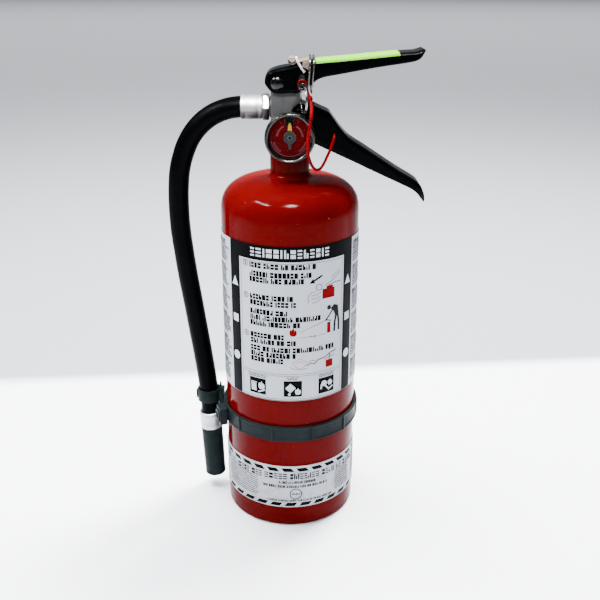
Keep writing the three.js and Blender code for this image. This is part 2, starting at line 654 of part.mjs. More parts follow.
// The lower sleeve and the nozzle share an axis that leans towards the cylinder as it drops.
// They are drawn about Z, with Z = 0 at the hose's cut end.
function nozzleEnd() {
  const group = new THREE.Group();
  const sleeveTop = 15.6;
  const ferrule = turned([
    [HOSE_RADIUS + 0.5, 0], [FERRULE_RADIUS - 0.1, 0], [FERRULE_RADIUS + 0.1, 0.6],
    [FERRULE_RADIUS + 0.1, sleeveTop - 0.6], [FERRULE_RADIUS - 0.1, sleeveTop],
    [HOSE_RADIUS + 0.5, sleeveTop],
  ]);
  const nozzle = turned([
    [3, -GAP], [3, -30], [5.2, -NOZZLE_LENGTH], [8.4, -NOZZLE_LENGTH], [9, -NOZZLE_LENGTH + 1],
    [FERRULE_RADIUS, -8], [FERRULE_RADIUS - 0.2, -GAP],
  ]);
  group.add(
    piece('lower_ferrule', shape(ferrule), 'brightAluminium'),
    piece('nozzle', shape(nozzle), 'blackPlastic'),
  );
  group.position.set(HOSE_END.x, HOSE_END.y, HOSE_END.z);
  group.rotation.y = degrees(-NOZZLE_LEAN);
  return group;
}

// ---- Hose band -----------------------------------------------------------------------------

function towards(azimuth, radius) {
  const angle = degrees(azimuth);
  return [radius * Math.sin(angle), -radius * Math.cos(angle)];
}

// A moulded strap right round the cylinder, with thin upright ribs at even steps.
function retainingBand() {
  const outer = BAND_INNER_RADIUS + BAND_THICK;
  const ribs = Array.from({ length: BAND_RIBS }, (_, i) => {
    const azimuth = BAND_TURN + i * (360 / BAND_RIBS);
    const rib = block([-0.9, -0.5, BAND_Z[0]], [0.9, 0.8, BAND_Z[1]]);
    return rib.rotateZ(degrees(azimuth)).translate(...towards(azimuth, outer), 0);
  });
  const strap = sleeve(BAND_INNER_RADIUS, outer, BAND_Z[0] + 0.4, BAND_Z[1] - 0.4, 48);
  return piece('retaining_band', shape(strap, { add: ribs }), 'blackPlastic');
}

// The catch that closes the band at the front left: a stubby barrel with a slot for a tool.
function bandBuckle() {
  const front = -(BAND_INNER_RADIUS + BAND_THICK + 0.6);
  const catchBlock = shape(block([-5.6, front - 6.4, 80.4], [5.6, front, 95.4]), {
    add: [block([-4.2, front - 7.6, 83], [4.2, front - 6, 92.8])],
    cut: [block([-2.6, front - 8.4, 85.4], [2.6, front - 6.6, 90.4])],
  });
  const mesh = piece('band_buckle', catchBlock, 'blackPlastic');
  mesh.rotation.z = degrees(-70);
  return mesh;
}

// The clip that holds the hose off the band: a plate on the band, an arm and a closed loop.
function hoseClip() {
  const plateX = -57.2; // just clear of the band behind it
  const [z0, z1] = LOOP.z;
  const ring = sleeve(HOSE_RADIUS + 0.75, LOOP.outer - 1, z0, z1).translate(LOOP.x, LOOP.y, 0);
  const clip = shape(ring, {
    add: [
      block([plateX - 4.2, 4, z0 - 2], [plateX, 16, z1 - 1]),
      block([plateX - 3.4, 4.4, z1 - 2], [plateX - 2, 8.8, z1 + 6.4]),
      block([LOOP.x - LOOP.outer, LOOP.y - 2, z0 + 2], [LOOP.x - LOOP.outer + 2, LOOP.y + 2, z1 - 2]),
    ],
  });
  return piece('hose_clip', clip, 'blackPlastic');
}

// ---- Labels --------------------------------------------------------------------------------

// A sticker bent round the cylinder, from one azimuth to the other, with 0 at the front.
function wrappedLabel(name, [z0, z1], halfAngle) {
  const inner = CYLINDER_RADIUS + 0.35;
  const outer = inner + LABEL_THICK;
  const plan = new THREE.Shape()
    .absarc(0, 0, outer, degrees(-90 - halfAngle), degrees(-90 + halfAngle))
    .absarc(0, 0, inner, degrees(-90 + halfAngle), degrees(-90 - halfAngle), true);
  const sheet = new THREE.ExtrudeGeometry(plan, { depth: z1 - z0, bevelEnabled: false, curveSegments: 30 })
    .translate(0, 0, z0);
  return piece(name, sheet, 'label');
}

// ---- Assembly ------------------------------------------------------------------------------

const extinguisher = new THREE.Group();
extinguisher.add(
  cylinderShell(),
  neckCollar(),
  collarSeal(),
  valveBody(),
  siphonTube(),
  siphonAdaptor(),
  valveStem(),
  seatSeal(),
  stemSeal(),
  stemSpring(),
  dischargeLever(),
  leverTape(),
  rivet('lever_rivet', PIVOT, 3, 5.2, 'steel'),
  carryHandle(),
  rivet('handle_rivet_upper', HANDLE_RIVETS[0], 1.9, 4.2, 'blackPaint'),
  rivet('handle_rivet_lower', HANDLE_RIVETS[1], 1.9, 3.6, 'blackPaint'),
  pullPin(),
  pullRing(),
  tamperSeal(),
  tagRing(),
  tagStub(),
  tagWire(),
  gauge(),
  hoseFitting(),
  upperFerrule(),
  hose(),
  nozzleEnd(),
  retainingBand(),
  bandBuckle(),
  hoseClip(),
  wrappedLabel('instruction_label', INSTRUCTION_Z, 150),
  wrappedLabel('lower_label', LOWER_LABEL_Z, 160),
);

// The box runs from the hose clip's loop to the carrying handle's tip.
const boxCentreX = (LOOP.x - LOOP.outer + HANDLE_TIP_X) / 2;
extinguisher.position.x = -boxCentreX;

const group = new THREE.Group();
group.add(extinguisher);

export default group;
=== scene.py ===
# Looks for a hand-held fire extinguisher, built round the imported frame. Blender 4.5, +Z up.
# Shapes are drawn in millimetres about the cylinder's own axis, with -Y towards the viewer.
# place() turns such a point into metres in the row frame.

import math
import random

import bmesh
import bpy
from mathutils import Matrix, Vector, noise


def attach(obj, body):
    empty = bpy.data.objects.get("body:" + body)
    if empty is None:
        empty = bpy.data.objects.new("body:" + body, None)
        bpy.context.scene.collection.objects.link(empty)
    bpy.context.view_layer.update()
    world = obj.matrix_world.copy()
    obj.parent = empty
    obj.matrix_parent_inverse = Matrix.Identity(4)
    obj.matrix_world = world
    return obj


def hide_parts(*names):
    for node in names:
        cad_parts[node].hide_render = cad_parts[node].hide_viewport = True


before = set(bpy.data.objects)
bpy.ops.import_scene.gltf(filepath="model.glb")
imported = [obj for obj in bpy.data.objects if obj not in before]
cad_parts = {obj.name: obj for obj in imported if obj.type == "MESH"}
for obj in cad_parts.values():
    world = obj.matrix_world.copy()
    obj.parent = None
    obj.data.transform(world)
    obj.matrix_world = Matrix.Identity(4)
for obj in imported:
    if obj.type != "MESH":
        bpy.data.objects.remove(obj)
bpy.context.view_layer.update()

# ---- Driving dimensions, in millimetres -----------------------------------------------------

MM = 0.001
AXIS_X = -11.3  # where the cylinder's axis stands in the row frame

CYLINDER_RADIUS = 54
WALL = 1.8
SHOULDER_Z = 260
DOME_FULLNESS = 2.5
DOME_TOP_Z = 286.5
NECK_HOLE_RADIUS = 13.2
FOOT_INNER_RADIUS = 44
FOOT_ROUND = 2.4
DISH_RISE = 9
COLLAR_RADIUS = 15.2
COLLAR_TOP_Z = 304.2

CHANNEL_HALF = 12.5
SHEET = 2
PIVOT = (-9.2, 356.8)
PIVOT_HOLE_RADIUS = 3.4
SLOT_SWEEP = 14.5  # degrees of the pin's curved slot, a little over the lever's travel
HANDLE_RIVETS = ((8, 335.5), (9.6, 312.4))
PIN = (9.2, 356.5)
PIN_RADIUS = 1.9
EYE = (9.2, -19.5, 355.4)
EYE_TILT = 58
RING_RADIUS = 9.7
RING_LEAN = 27
RING_TURN = -12
PAPER = 0.4

GAUGE_Z = 319.7
GAUGE_RADIUS = 18.6
GAUGE_BACK_Y = -16.6
GAUGE_DEPTH = 12.4

HOSE_RADIUS = 8
HOSE_Z = 338.4
FERRULE_RADIUS = 9.2
HEX_OUTER_X = -20.1
HOSE_END = (-69.3, 10, 59.3)
NOZZLE_LEAN = 2.4
NOZZLE_LENGTH = 47

BAND_RIBS = 11
BAND_TURN = 18
BAND_INNER_RADIUS = 54.4
BAND_THICK = 2.4
BAND_Z = (81.8, 95.3)

LABEL_RADIUS = 54.62
PRINT_STEP = 2.5  # width of the flat strips that printed shapes are wrapped in
LABEL_TURN = 2.0  # degrees by which the labels' middles sit to the right of the front

CAMERA_LENS = 50.19
CAMERA_AT = (1.2, -636, 437)
CAMERA_DOWN = 21.83  # degrees, as are the next two
CAMERA_YAW = 0.62
CAMERA_ROLL = 0.16

# The hose's centreline, from the fitting over the bend and down to the cut end.
HOSE_ROUTE = (
    (-20.6, 0, 338.4),
    (-29, 0, 338.4),
    (-38, 0, 338.2),
    (-46, 0, 337),
    (-54, 0.1, 334.3),
    (-62, 0.3, 329.8),
    (-69.6, 0.5, 323.1),
    (-76, 0.9, 314.4),
    (-81, 1.3, 303.7),
    (-84.9, 1.8, 290),
    (-86.8, 2.5, 273.5),
    (-87.3, 3.3, 257),
    (-86.8, 4.1, 240.5),
    (-85.3, 5, 223),
    (-83.1, 6, 202),
    (-80.1, 7.1, 179),
    (-76.8, 8.3, 152),
    (-73.4, 9.3, 124),
    (-70.9, 9.8, 100),
    (-69.8, 10, 80),
    (-69.3, 10, 59.3),
)


def place(point):
    """A point in the row frame, in metres."""
    x, y, z = point
    return Vector(((x + AXIS_X) * MM, y * MM, z * MM))


# ---- Camera, floor and light ----------------------------------------------------------------


def make_camera():
    """The photograph's viewpoint: a little above the lever, looking down."""
    data = bpy.data.cameras.new("camera")
    data.sensor_width = 36
    data.lens = CAMERA_LENS
    data.clip_start = 0.01
    data.clip_end = 60
    camera = linked("camera", data)
    down = math.radians(CAMERA_DOWN)
    yaw = math.radians(CAMERA_YAW)
    roll = math.radians(CAMERA_ROLL)
    forward = Vector((math.sin(yaw) * math.cos(down), math.cos(yaw) * math.cos(down), -math.sin(down)))
    right = Vector((math.cos(yaw), -math.sin(yaw), 0))
    up = right.cross(forward)
    rolled_right = right * math.cos(roll) + up * math.sin(roll)
    rolled_up = up * math.cos(roll) - right * math.sin(roll)
    turn = Matrix((rolled_right, rolled_up, -forward)).transposed().to_4x4()
    camera.matrix_world = Matrix.Translation(place(CAMERA_AT)) @ turn
    bpy.context.scene.camera = camera


def make_floor():
    """One wide plane, staged for every view."""
    size = 30
    mesh = bpy.data.meshes.new("floor")
    corners = [(-size, -size, 0), (size, -size, 0), (size, size, 0), (-size, size, 0)]
    mesh.from_pydata(corners, [], [(0, 1, 2, 3)])
    floor = linked("floor", mesh)
    floor.data.materials.append(floor_finish())


def area_light(name, location, target, size, power):
    """A white rectangular light aimed at the target."""
    data = bpy.data.lights.new(name, "AREA")
    data.shape = "RECTANGLE"
    data.size, data.size_y = size
    data.energy = power
    light = linked(name, data)
    light.location = location
    aim = Vector(target) - Vector(location)
    light.rotation_euler = aim.to_track_quat("-Z", "Y").to_euler()
    return light


def unseen_in_gloss(light):
    """A softbox that lights surfaces without leaving its own reflection on them."""
    light.visible_glossy = False


def make_light():
    """Large softboxes behind and above, so that the floor's bounce lights the upright faces."""
    key = area_light("key_softbox", (-0.45, 0.15, 1.55), (0, 0, 0.1), (0.9, 0.9), 190)
    overhead = area_light("overhead_softbox", (0.45, 0.5, 1.45), (0, -0.05, 0.1), (0.45, 0.4), 205)
    fill = area_light("front_fill", (-0.5, -1.2, 1.1), (0, 0, 0.2), (1.0, 1.0), 34)
    backdrop = area_light("backdrop_softbox", (0, 6, 4), (0, 6.2, 0), (14, 9), 2600)
    for softbox in (key, overhead, fill, backdrop):
        unseen_in_gloss(softbox)
    area_light("ceiling_panel", (0.35, 0.6, 1.6), (0, 0, 0.3), (1.0, 0.7), 10)
    area_light("left_panel", (-1.1, -0.1, 0.9), (0, 0, 0.3), (0.3, 0.9), 3)
    for name, x, y, width, power in (
        ("front_tube_near", 0.0, -0.75, 0.3, 70),
        ("front_tube_far", 0.05, -0.6, 0.3, 40),
        ("left_tube", -0.75, -0.35, 0.5, 60),
    ):
        tube_light = area_light(name, (x, y, 1.3), (0, 0, 0.25), (width, 0.02), power)
        tube_light.visible_diffuse = False
    make_world()


def make_world():
    """A room that is pale behind the object and dim in front of it."""
    world = bpy.data.worlds.new("studio")
    bpy.context.scene.world = world
    world.use_nodes = True
    nodes = world.node_tree.nodes
    links = world.node_tree.links
    background = nodes["Background"]
    coordinates = nodes.new("ShaderNodeTexCoord")
    apart = nodes.new("ShaderNodeSeparateXYZ")
    links.new(coordinates.outputs["Generated"], apart.inputs[0])
    blend = nodes.new("ShaderNodeMapRange")
    blend.inputs["From Min"].default_value = -0.5
    blend.inputs["From Max"].default_value = 0.6
    blend.inputs["To Min"].default_value = 0.06
    blend.inputs["To Max"].default_value = 0.45
    links.new(apart.outputs["Y"], blend.inputs["Value"])
    links.new(blend.outputs["Result"], background.inputs["Strength"])
    background.inputs["Color"].default_value = (0.86, 0.92, 1.0, 1)


# ---- Finishes -------------------------------------------------------------------------------


class Finish:
    """One node material: a Principled shader, with helpers that feed its inputs."""

    def __init__(self, name, **inputs):
        self.material = bpy.data.materials.new(name)
        self.material.use_nodes = True
        self.tree = self.material.node_tree
        self.shader = self.tree.nodes["Principled BSDF"]
        coordinates = self.tree.nodes.new("ShaderNodeTexCoord")
        self.coordinates = coordinates.outputs["Object"]
        for key, value in inputs.items():
            self.set(key.replace("_", " ").title().replace("Ior", "IOR"), value)

    def feed(self, socket, value):
        """Links a socket to another socket, or gives it a number or a colour."""
        if isinstance(value, bpy.types.NodeSocket):
            self.tree.links.new(value, socket)
        elif isinstance(value, tuple) and socket.type == "RGBA":
            socket.default_value = (*value, 1)
        else:
            socket.default_value = value

    def set(self, key, value):
        """Feeds one of the shader's inputs."""
        self.feed(self.shader.inputs[key], value)

    def node(self, kind, **inputs):
        """A new node with its named inputs fed."""
        made = self.tree.nodes.new(kind)
        for key, value in inputs.items():
            self.feed(made.inputs[key], value)
        return made

    def axis(self, vector, letter):
        """One coordinate of a vector."""
        apart = self.node("ShaderNodeSeparateXYZ", Vector=vector)
        return apart.outputs[letter]

    def stretched(self, scale):
        """The coordinates, multiplied by a different number along each axis."""
        mapping = self.node("ShaderNodeMapping", Vector=self.coordinates, Scale=scale)
        return mapping.outputs["Vector"]

    def noise(self, scale, detail=4, roughness=0.6, vector=None):
        """Noise from about 0 to 1. The scale is in features per metre."""
        made = self.node(
            "ShaderNodeTexNoise",
            Vector=vector or self.coordinates,
            Scale=scale,
            Detail=detail,
            Roughness=roughness,
        )
        return made.outputs["Fac"]

    def spots(self, scale, size):
        """1 inside scattered round spots of uneven size, and 0 between them."""
        cells = self.node("ShaderNodeTexVoronoi", Vector=self.coordinates, Scale=scale)
        uneven = self.noise(scale * 0.6, detail=2)
        limit = self.ramp(uneven, 0.55, 0.75, 0, size)
        return self.maths("LESS_THAN", cells.outputs["Distance"], limit)

    def ramp(self, value, low, high, out_low=0.0, out_high=1.0):
        """A value's range, stretched to another range and held at its ends."""
        made = self.node("ShaderNodeMapRange", Value=value)
        made.inputs["From Min"].default_value = low
        made.inputs["From Max"].default_value = high
        made.inputs["To Min"].default_value = out_low
        made.inputs["To Max"].default_value = out_high
        return made.outputs["Result"]

    def maths(self, operation, a, b):
        """The result of a sum on two values."""
        made = self.tree.nodes.new("ShaderNodeMath")
        made.operation = operation
        for socket, value in zip(made.inputs, (a, b)):
            self.feed(socket, value)
        return made.outputs["Value"]

    def mix(self, factor, a, b):
        """A blend from colour a to colour b."""
        made = self.tree.nodes.new("ShaderNodeMix")
        made.data_type = "RGBA"
        for socket, value in zip((made.inputs[0], made.inputs[6], made.inputs[7]), (factor, a, b)):
            self.feed(socket, value)
        return made.outputs[2]

    def bump(self, height, distance, strength=1.0):
        """Bump with a height in metres."""
        made = self.node("ShaderNodeBump", Height=height, Strength=strength, Distance=distance)
        self.tree.links.new(made.outputs["Normal"], self.shader.inputs["Normal"])


def floor_finish():
    """White paper under the object, and a greyer stretch behind it."""
    finish = Finish("pale_floor", roughness=0.8)
    finish.set("Specular IOR Level", 0.0)
    slant = finish.maths("MULTIPLY", finish.axis(finish.coordinates, "X"), 0.077)
    depth = finish.maths("SUBTRACT", finish.axis(finish.coordinates, "Y"), slant)
    behind = finish.ramp(depth, 0.222, 0.246)
    finish.set("Base Color", finish.mix(behind, (0.5, 0.515, 0.54), (0.165, 0.173, 0.187)))
    finish.bump(finish.noise(900, detail=2), 0.00002, 0.3)
    return finish.material


def red_paint():
    """Glossy enamel, with faint orange peel, rubbed patches and a few specks of dust."""
    finish = Finish("red_enamel", specular_ior_level=0.018)
    patches = finish.ramp(finish.noise(22, detail=5), 0.35, 0.7)
    paint = finish.mix(patches, (0.046, 0.0002, 0.0004), (0.056, 0.0003, 0.0005))
    dust = finish.spots(420, 0.16)
    finish.set("Base Color", finish.mix(dust, paint, (0.12, 0.07, 0.06)))
    rubbed = finish.ramp(finish.noise(60, detail=8, roughness=0.75), 0.45, 0.8, 0.1, 0.3)
    finish.set("Roughness", rubbed)
    peel = finish.noise(520, detail=2)
    finish.bump(peel, 0.00006, 0.35)
    return finish.material


def black_paint():
    """Satin black powder coat, rubbed a little shinier in patches, with light dust."""
    finish = Finish("black_coat", specular_ior_level=0.015)
    wear = finish.ramp(finish.noise(90, detail=8, roughness=0.7), 0.45, 0.75)
    coat = finish.mix(wear, (0.0002, 0.0003, 0.0004), (0.0006, 0.0007, 0.0009))
    dust = finish.spots(700, 0.14)
    finish.set("Base Color", finish.mix(dust, coat, (0.012, 0.011, 0.01)))
    finish.set("Roughness", finish.ramp(finish.noise(70, detail=6), 0.35, 0.7, 0.16, 0.3))
    finish.bump(finish.noise(1400, detail=2), 0.00005, 0.35)
    return finish.material


def cast_aluminium():
    """Sand-textured casting, matte, with a faint cloudy tone."""
    finish = Finish("cast_aluminium", metallic=0.3)
    grain = finish.noise(1500, detail=3)
    cloud = finish.ramp(finish.noise(120, detail=5), 0.35, 0.7)
    finish.set("Base Color", finish.mix(cloud, (0.014, 0.014, 0.0145), (0.022, 0.022, 0.023)))
    finish.set("Roughness", finish.ramp(grain, 0.3, 0.7, 0.48, 0.68))
    finish.bump(grain, 0.00012, 0.6)
    return finish.material


def turned_metal(name, colour, along, rough=(0.16, 0.34), underside=0.6):
    """Metal with fine rings square to the scale vector's long axis, with painted shade that darkens its
    downward-facing faces.
    """
    finish = Finish(name, metallic=1.0)
    rings = finish.noise(1.0, detail=6, roughness=0.8, vector=finish.stretched(along))
    smear = finish.ramp(finish.noise(160, detail=5), 0.35, 0.75)
    dull = tuple(0.85 * c for c in colour)
    metal = finish.mix(smear, colour, dull)
    normal = finish.node("ShaderNodeNewGeometry").outputs["Normal"]
    # Painted shade: the colour darkens towards the underside fraction where the normal points downwards.
    under = finish.ramp(finish.axis(normal, "Z"), 0.3, -0.3)
    finish.set("Base Color", finish.mix(under, metal, tuple(underside * c for c in colour)))
    finish.set("Roughness", finish.ramp(rings, 0.3, 0.7, *rough))
    finish.bump(rings, 0.00002, 0.5)
    return finish.material


def plated_steel(name, bright, dull):
    """Bright plate, clouded and speckled with age."""
    finish = Finish(name, metallic=1.0)
    cloud = finish.ramp(finish.noise(260, detail=6, roughness=0.7), 0.35, 0.7)
    finish.set("Base Color", finish.mix(cloud, bright, dull))
    finish.set("Roughness", finish.ramp(finish.noise(500, detail=4), 0.3, 0.75, 0.14, 0.36))
    finish.bump(finish.noise(1800, detail=2), 0.00002, 0.4)
    return finish.material


def hose_rubber():
    """Smooth satin rubber with faint wrap marks, scuffs and pale specks."""
    finish = Finish("hose_rubber", specular_ior_level=0.012)
    scuffs = finish.ramp(finish.noise(130, detail=7, roughness=0.75), 0.5, 0.8)
    rubber = finish.mix(scuffs, (0.0002, 0.0003, 0.0004), (0.0007, 0.0008, 0.0009))
    specks = finish.spots(520, 0.15)
    finish.set("Base Color", finish.mix(specks, rubber, (0.01, 0.009, 0.008)))
    finish.set("Roughness", finish.ramp(finish.noise(45, detail=6), 0.35, 0.7, 0.3, 0.46))
    finish.bump(finish.noise(900, detail=4, roughness=0.7), 0.00006, 0.5)
    return finish.material


def moulded_plastic(name, colour, rough=(0.34, 0.5)):
    """Moulded plastic with a fine grain and uneven sheen."""
    finish = Finish(name, specular_ior_level=0.02)
    cloud = finish.ramp(finish.noise(110, detail=6), 0.4, 0.75)
    lighter = tuple(min(1.0, 1.5 * c) for c in colour)
    finish.set("Base Color", finish.mix(cloud, colour, lighter))
    finish.set("Roughness", finish.ramp(finish.noise(240, detail=4), 0.3, 0.7, *rough))
    finish.bump(finish.noise(2200, detail=3), 0.00004, 0.45)
    return finish.material


def label_film():
    """White printed film, slightly grey, with soiling that gathers low on the cylinder."""
    finish = Finish("label_film", specular_ior_level=0.03)
    low = finish.ramp(finish.axis(finish.coordinates, "Z"), 0.11, 0.02, 0.12, 0.9)
    smudge = finish.ramp(finish.noise(75, detail=8, roughness=0.72), 0.46, 0.74)
    soil = finish.maths("MULTIPLY", low, smudge)
    film = finish.mix(soil, (0.3, 0.315, 0.35), (0.13, 0.12, 0.1))
    finish.set("Base Color", film)
    finish.set("Roughness", finish.ramp(finish.noise(90, detail=5), 0.35, 0.7, 0.28, 0.46))
    finish.bump(finish.noise(60, detail=3), 0.00012, 0.25)
    return finish.material


def ink(name, colour, rough=0.34):
    """Printing ink: even, but slightly mottled."""
    finish = Finish(name, specular_ior_level=0.01)
    mottle = finish.ramp(finish.noise(800, detail=4), 0.35, 0.7)
    paler = tuple(0.85 * c + 0.0002 for c in colour)
    finish.set("Base Color", finish.mix(mottle, colour, paler))
    finish.set("Roughness", finish.ramp(finish.noise(240, detail=3), 0.3, 0.7, rough - 0.06, rough + 0.1))
    return finish.material


def reflective_tape():
    """Fluorescent film over a fine honeycomb, with scuffs."""
    finish = Finish("reflective_tape", specular_ior_level=0.015)
    cells = finish.node("ShaderNodeTexVoronoi", Vector=finish.coordinates, Scale=900)
    pattern = finish.ramp(cells.outputs["Distance"], 0.1, 0.6)
    film = finish.mix(pattern, (0.075, 0.24, 0.0), (0.055, 0.18, 0.0))
    scuffs = finish.ramp(finish.noise(200, detail=8, roughness=0.8), 0.6, 0.75, 0, 0.6)
    finish.set("Base Color", finish.mix(scuffs, film, (0.08, 0.16, 0.0)))
    finish.set("Roughness", finish.ramp(finish.noise(150, detail=4), 0.3, 0.7, 0.24, 0.44))
    finish.bump(pattern, 0.00003, 0.4)
    return finish.material


def kraft_paper():
    """Brown paper with long fibres and dark rubbed patches."""
    finish = Finish("kraft_paper")
    fibres = finish.noise(1.0, detail=6, roughness=0.7, vector=finish.stretched((900, 300, 1200)))
    stains = finish.ramp(finish.noise(180, detail=6, roughness=0.7), 0.42, 0.7)
    paper = finish.mix(fibres, (0.065, 0.038, 0.022), (0.1, 0.068, 0.045))
    finish.set("Base Color", finish.mix(stains, paper, (0.03, 0.016, 0.009)))
    finish.set("Roughness", 0.85)
    finish.bump(fibres, 0.00015, 0.8)
    return finish.material


def clear_lens():
    """A thin clear window: see-through, with glossy reflections that grow at grazing angles."""
    material = bpy.data.materials.new("clear_lens")
    material.use_nodes = True
    nodes = material.node_tree.nodes
    links = material.node_tree.links
    nodes.remove(nodes["Principled BSDF"])
    clear = nodes.new("ShaderNodeBsdfTransparent")
    clear.inputs["Color"].default_value = (0.94, 0.96, 0.96, 1)
    gloss = nodes.new("ShaderNodeBsdfGlossy")
    gloss.inputs["Roughness"].default_value = 0.03
    fresnel = nodes.new("ShaderNodeFresnel")
    fresnel.inputs["IOR"].default_value = 1.05
    mix = nodes.new("ShaderNodeMixShader")
    links.new(fresnel.outputs["Fac"], mix.inputs["Fac"])
    links.new(clear.outputs["BSDF"], mix.inputs[1])
    links.new(gloss.outputs["BSDF"], mix.inputs[2])
    links.new(mix.outputs["Shader"], nodes["Material Output"].inputs["Surface"])
    return material


def make_finishes():
    """Every finish, by its short name."""
    fine_x, fine_z, even = (1800, 40, 40), (40, 40, 1800), (600, 600, 600)
    satin = (0.42, 0.5)
    return {
        "red": red_paint(),
        "black": black_paint(),
        "cast": cast_aluminium(),
        # Every turned_metal finish carries painted shade on its underside; the last number, where given,
        # sets how dark it goes.
        "ferrule_x": turned_metal("turned_aluminium_x", (0.5, 0.495, 0.515), fine_x, satin, 0.12),
        "ferrule_z": turned_metal("turned_aluminium_z", (0.5, 0.5, 0.525), fine_z, satin),
        "hexagon": turned_metal("milled_aluminium", (0.5, 0.5, 0.53), even, (0.3, 0.42), 0.08),
        "steel": plated_steel("plated_steel", (0.2, 0.19, 0.17), (0.07, 0.066, 0.06)),
        "rivet_steel": plated_steel("rivet_steel", (0.026, 0.026, 0.026), (0.013, 0.013, 0.0125)),
        "cord": moulded_plastic("pale_cord", (0.3, 0.29, 0.27), (0.6, 0.8)),
        "gauge_steel": plated_steel("gauge_steel", (0.04, 0.037, 0.034), (0.018, 0.017, 0.016)),
        "brass": turned_metal("turned_brass", (0.72, 0.5, 0.2), (40, 40, 2600), (0.2, 0.4)),
        "rubber": hose_rubber(),
        "plastic": moulded_plastic("black_plastic", (0.005, 0.0075, 0.008)),
        "white_plastic": moulded_plastic("white_plastic", (0.7, 0.7, 0.66)),
        "seal_red": moulded_plastic("red_plastic", (0.09, 0.0002, 0.0015), (0.2, 0.36)),
        "film": label_film(),
        "ink_black": ink("ink_black", (0.0008, 0.001, 0.0014)),
        "ink_white": ink("ink_white", (0.36, 0.39, 0.42)),
        "ink_red": ink("ink_red", (0.1, 0.001, 0.002)),
        "ink_pink": ink("ink_pink", (0.34, 0.1, 0.11)),
        "ink_grey": ink("ink_grey", (0.008, 0.0085, 0.01)),
        "ink_green": ink("ink_green", (0.0008, 0.011, 0.008)),
        "dial_red": ink("dial_red", (0.05, 0.0, 0.0006), 0.4),
        "dial_pale": ink("dial_pale", (0.1, 0.03, 0.035), 0.4),
        "pointer": ink("pointer_yellow", (0.36, 0.17, 0.002), 0.4),
        "hub": turned_metal("hub_metal", (0.035, 0.033, 0.033), even, (0.3, 0.5)),
        "tape": reflective_tape(),
        "paper": kraft_paper(),
        "lens": clear_lens(),
    }


# ---- Shape helpers --------------------------------------------------------------------------


def smooth_path(points, per_span=8):
    """A centripetal Catmull-Rom curve through the points."""
    points = [Vector(p) for p in points]
    ends = [points[0] * 2 - points[1], *points, points[-1] * 2 - points[-2]]
    made = []
    for a, b, c, d in zip(ends, ends[1:], ends[2:], ends[3:]):
        times = [0.0]
        for first, second in ((a, b), (b, c), (c, d)):
            times.append(times[-1] + max((second - first).length, 1e-6) ** 0.5)
        t0, t1, t2, t3 = times
        for i in range(per_span):
            t = t1 + (t2 - t1) * i / per_span
            ab = a.lerp(b, (t - t0) / (t1 - t0))
            bc = b.lerp(c, (t - t1) / (t2 - t1))
            cd = c.lerp(d, (t - t2) / (t3 - t2))
            abc = ab.lerp(bc, (t - t0) / (t2 - t0))
            bcd = bc.lerp(cd, (t - t1) / (t3 - t1))
            made.append(abc.lerp(bcd, (t - t1) / (t2 - t1)))
    return [*made, points[-1]]


def filleted(points, radius, steps=4):
    """A closed outline with each corner eased over about the radius."""
    made = []
    count = len(points)
    for i, point in enumerate(points):
        here = Vector(point)
        before = Vector(points[i - 1])
        after = Vector(points[(i + 1) % count])
        start = here + (before - here).normalized() * min(radius, 0.45 * (before - here).length)
        end = here + (after - here).normalized() * min(radius, 0.45 * (after - here).length)
        for k in range(steps + 1):
            t = k / steps
            made.append(tuple(start * (1 - t) ** 2 + here * 2 * t * (1 - t) + end * t**2))
    return made


def arc(centre, radii, start, end, steps):
    """Points of an ellipse's arc, in degrees."""
    made = []
    for i in range(steps + 1):
        angle = math.radians(start + (end - start) * i / steps)
        made.append((centre[0] + radii[0] * math.cos(angle), centre[1] + radii[1] * math.sin(angle)))
    return made


def lathe(profile, segments=96):
    """A closed profile of (radius, z) points turned about Z."""
    points = []
    faces = []
    count = len(profile)
    for i in range(segments):
        angle = 2 * math.pi * i / segments
        points += [(r * math.cos(angle), r * math.sin(angle), z) for r, z in profile]
        j = (i + 1) % segments
        for k in range(count):
            m = (k + 1) % count
            faces.append((i * count + k, j * count + k, j * count + m, i * count + m))
    return points, faces


def prism(outline, low, high):
    """A closed outline of (x, z) points, drawn through along Y."""
    count = len(outline)
    points = [(x, low, z) for x, z in outline] + [(x, high, z) for x, z in outline]
    faces = [tuple(range(count)), tuple(range(2 * count - 1, count - 1, -1))]
    faces += [(i, i + count, (i + 1) % count + count, (i + 1) % count) for i in range(count)]
    return points, faces


def tube(path, radius, sides=14, closed=False):
    """A round tube along a path. The radius is one number or one for each point."""
    path = [Vector(p) for p in path]
    count = len(path)
    radii = radius if isinstance(radius, (list, tuple)) else [radius] * count
    points = []
    faces = []
    across = None
    for i, centre in enumerate(path):
        before = path[i - 1] if closed else path[max(i - 1, 0)]
        after = path[(i + 1) % count] if closed else path[min(i + 1, count - 1)]
        along = (after - before).normalized()
        if across is None:
            across = along.orthogonal().normalized()
        across = (across - along * across.dot(along)).normalized()
        other = along.cross(across)
        for k in range(sides):
            angle = 2 * math.pi * k / sides
            points.append(centre + radii[i] * (across * math.cos(angle) + other * math.sin(angle)))
    for i in range(count if closed else count - 1):
        j = (i + 1) % count
        for k in range(sides):
            m = (k + 1) % sides
            faces.append((i * sides + k, i * sides + m, j * sides + m, j * sides + k))
    if not closed:
        faces.append(tuple(range(sides - 1, -1, -1)))
        faces.append(tuple(range((count - 1) * sides, count * sides)))
    return points, faces


def moved(shape, matrix):
    """A shape with a matrix applied to its points."""
    points, faces = shape
    return [tuple(matrix @ Vector(p)) for p in points], faces


def along_axis(axis, offset=(0, 0, 0)):
    """A matrix that lays +Z along an axis and then moves to the offset."""
    turn = Vector((0, 0, 1)).rotation_difference(Vector(axis))
    return Matrix.Translation(offset) @ turn.to_matrix().to_4x4()


def linked(name, data):
    """A new object in the scene."""
    obj = bpy.data.objects.new(name, data)
    bpy.context.scene.collection.objects.link(obj)
    return obj


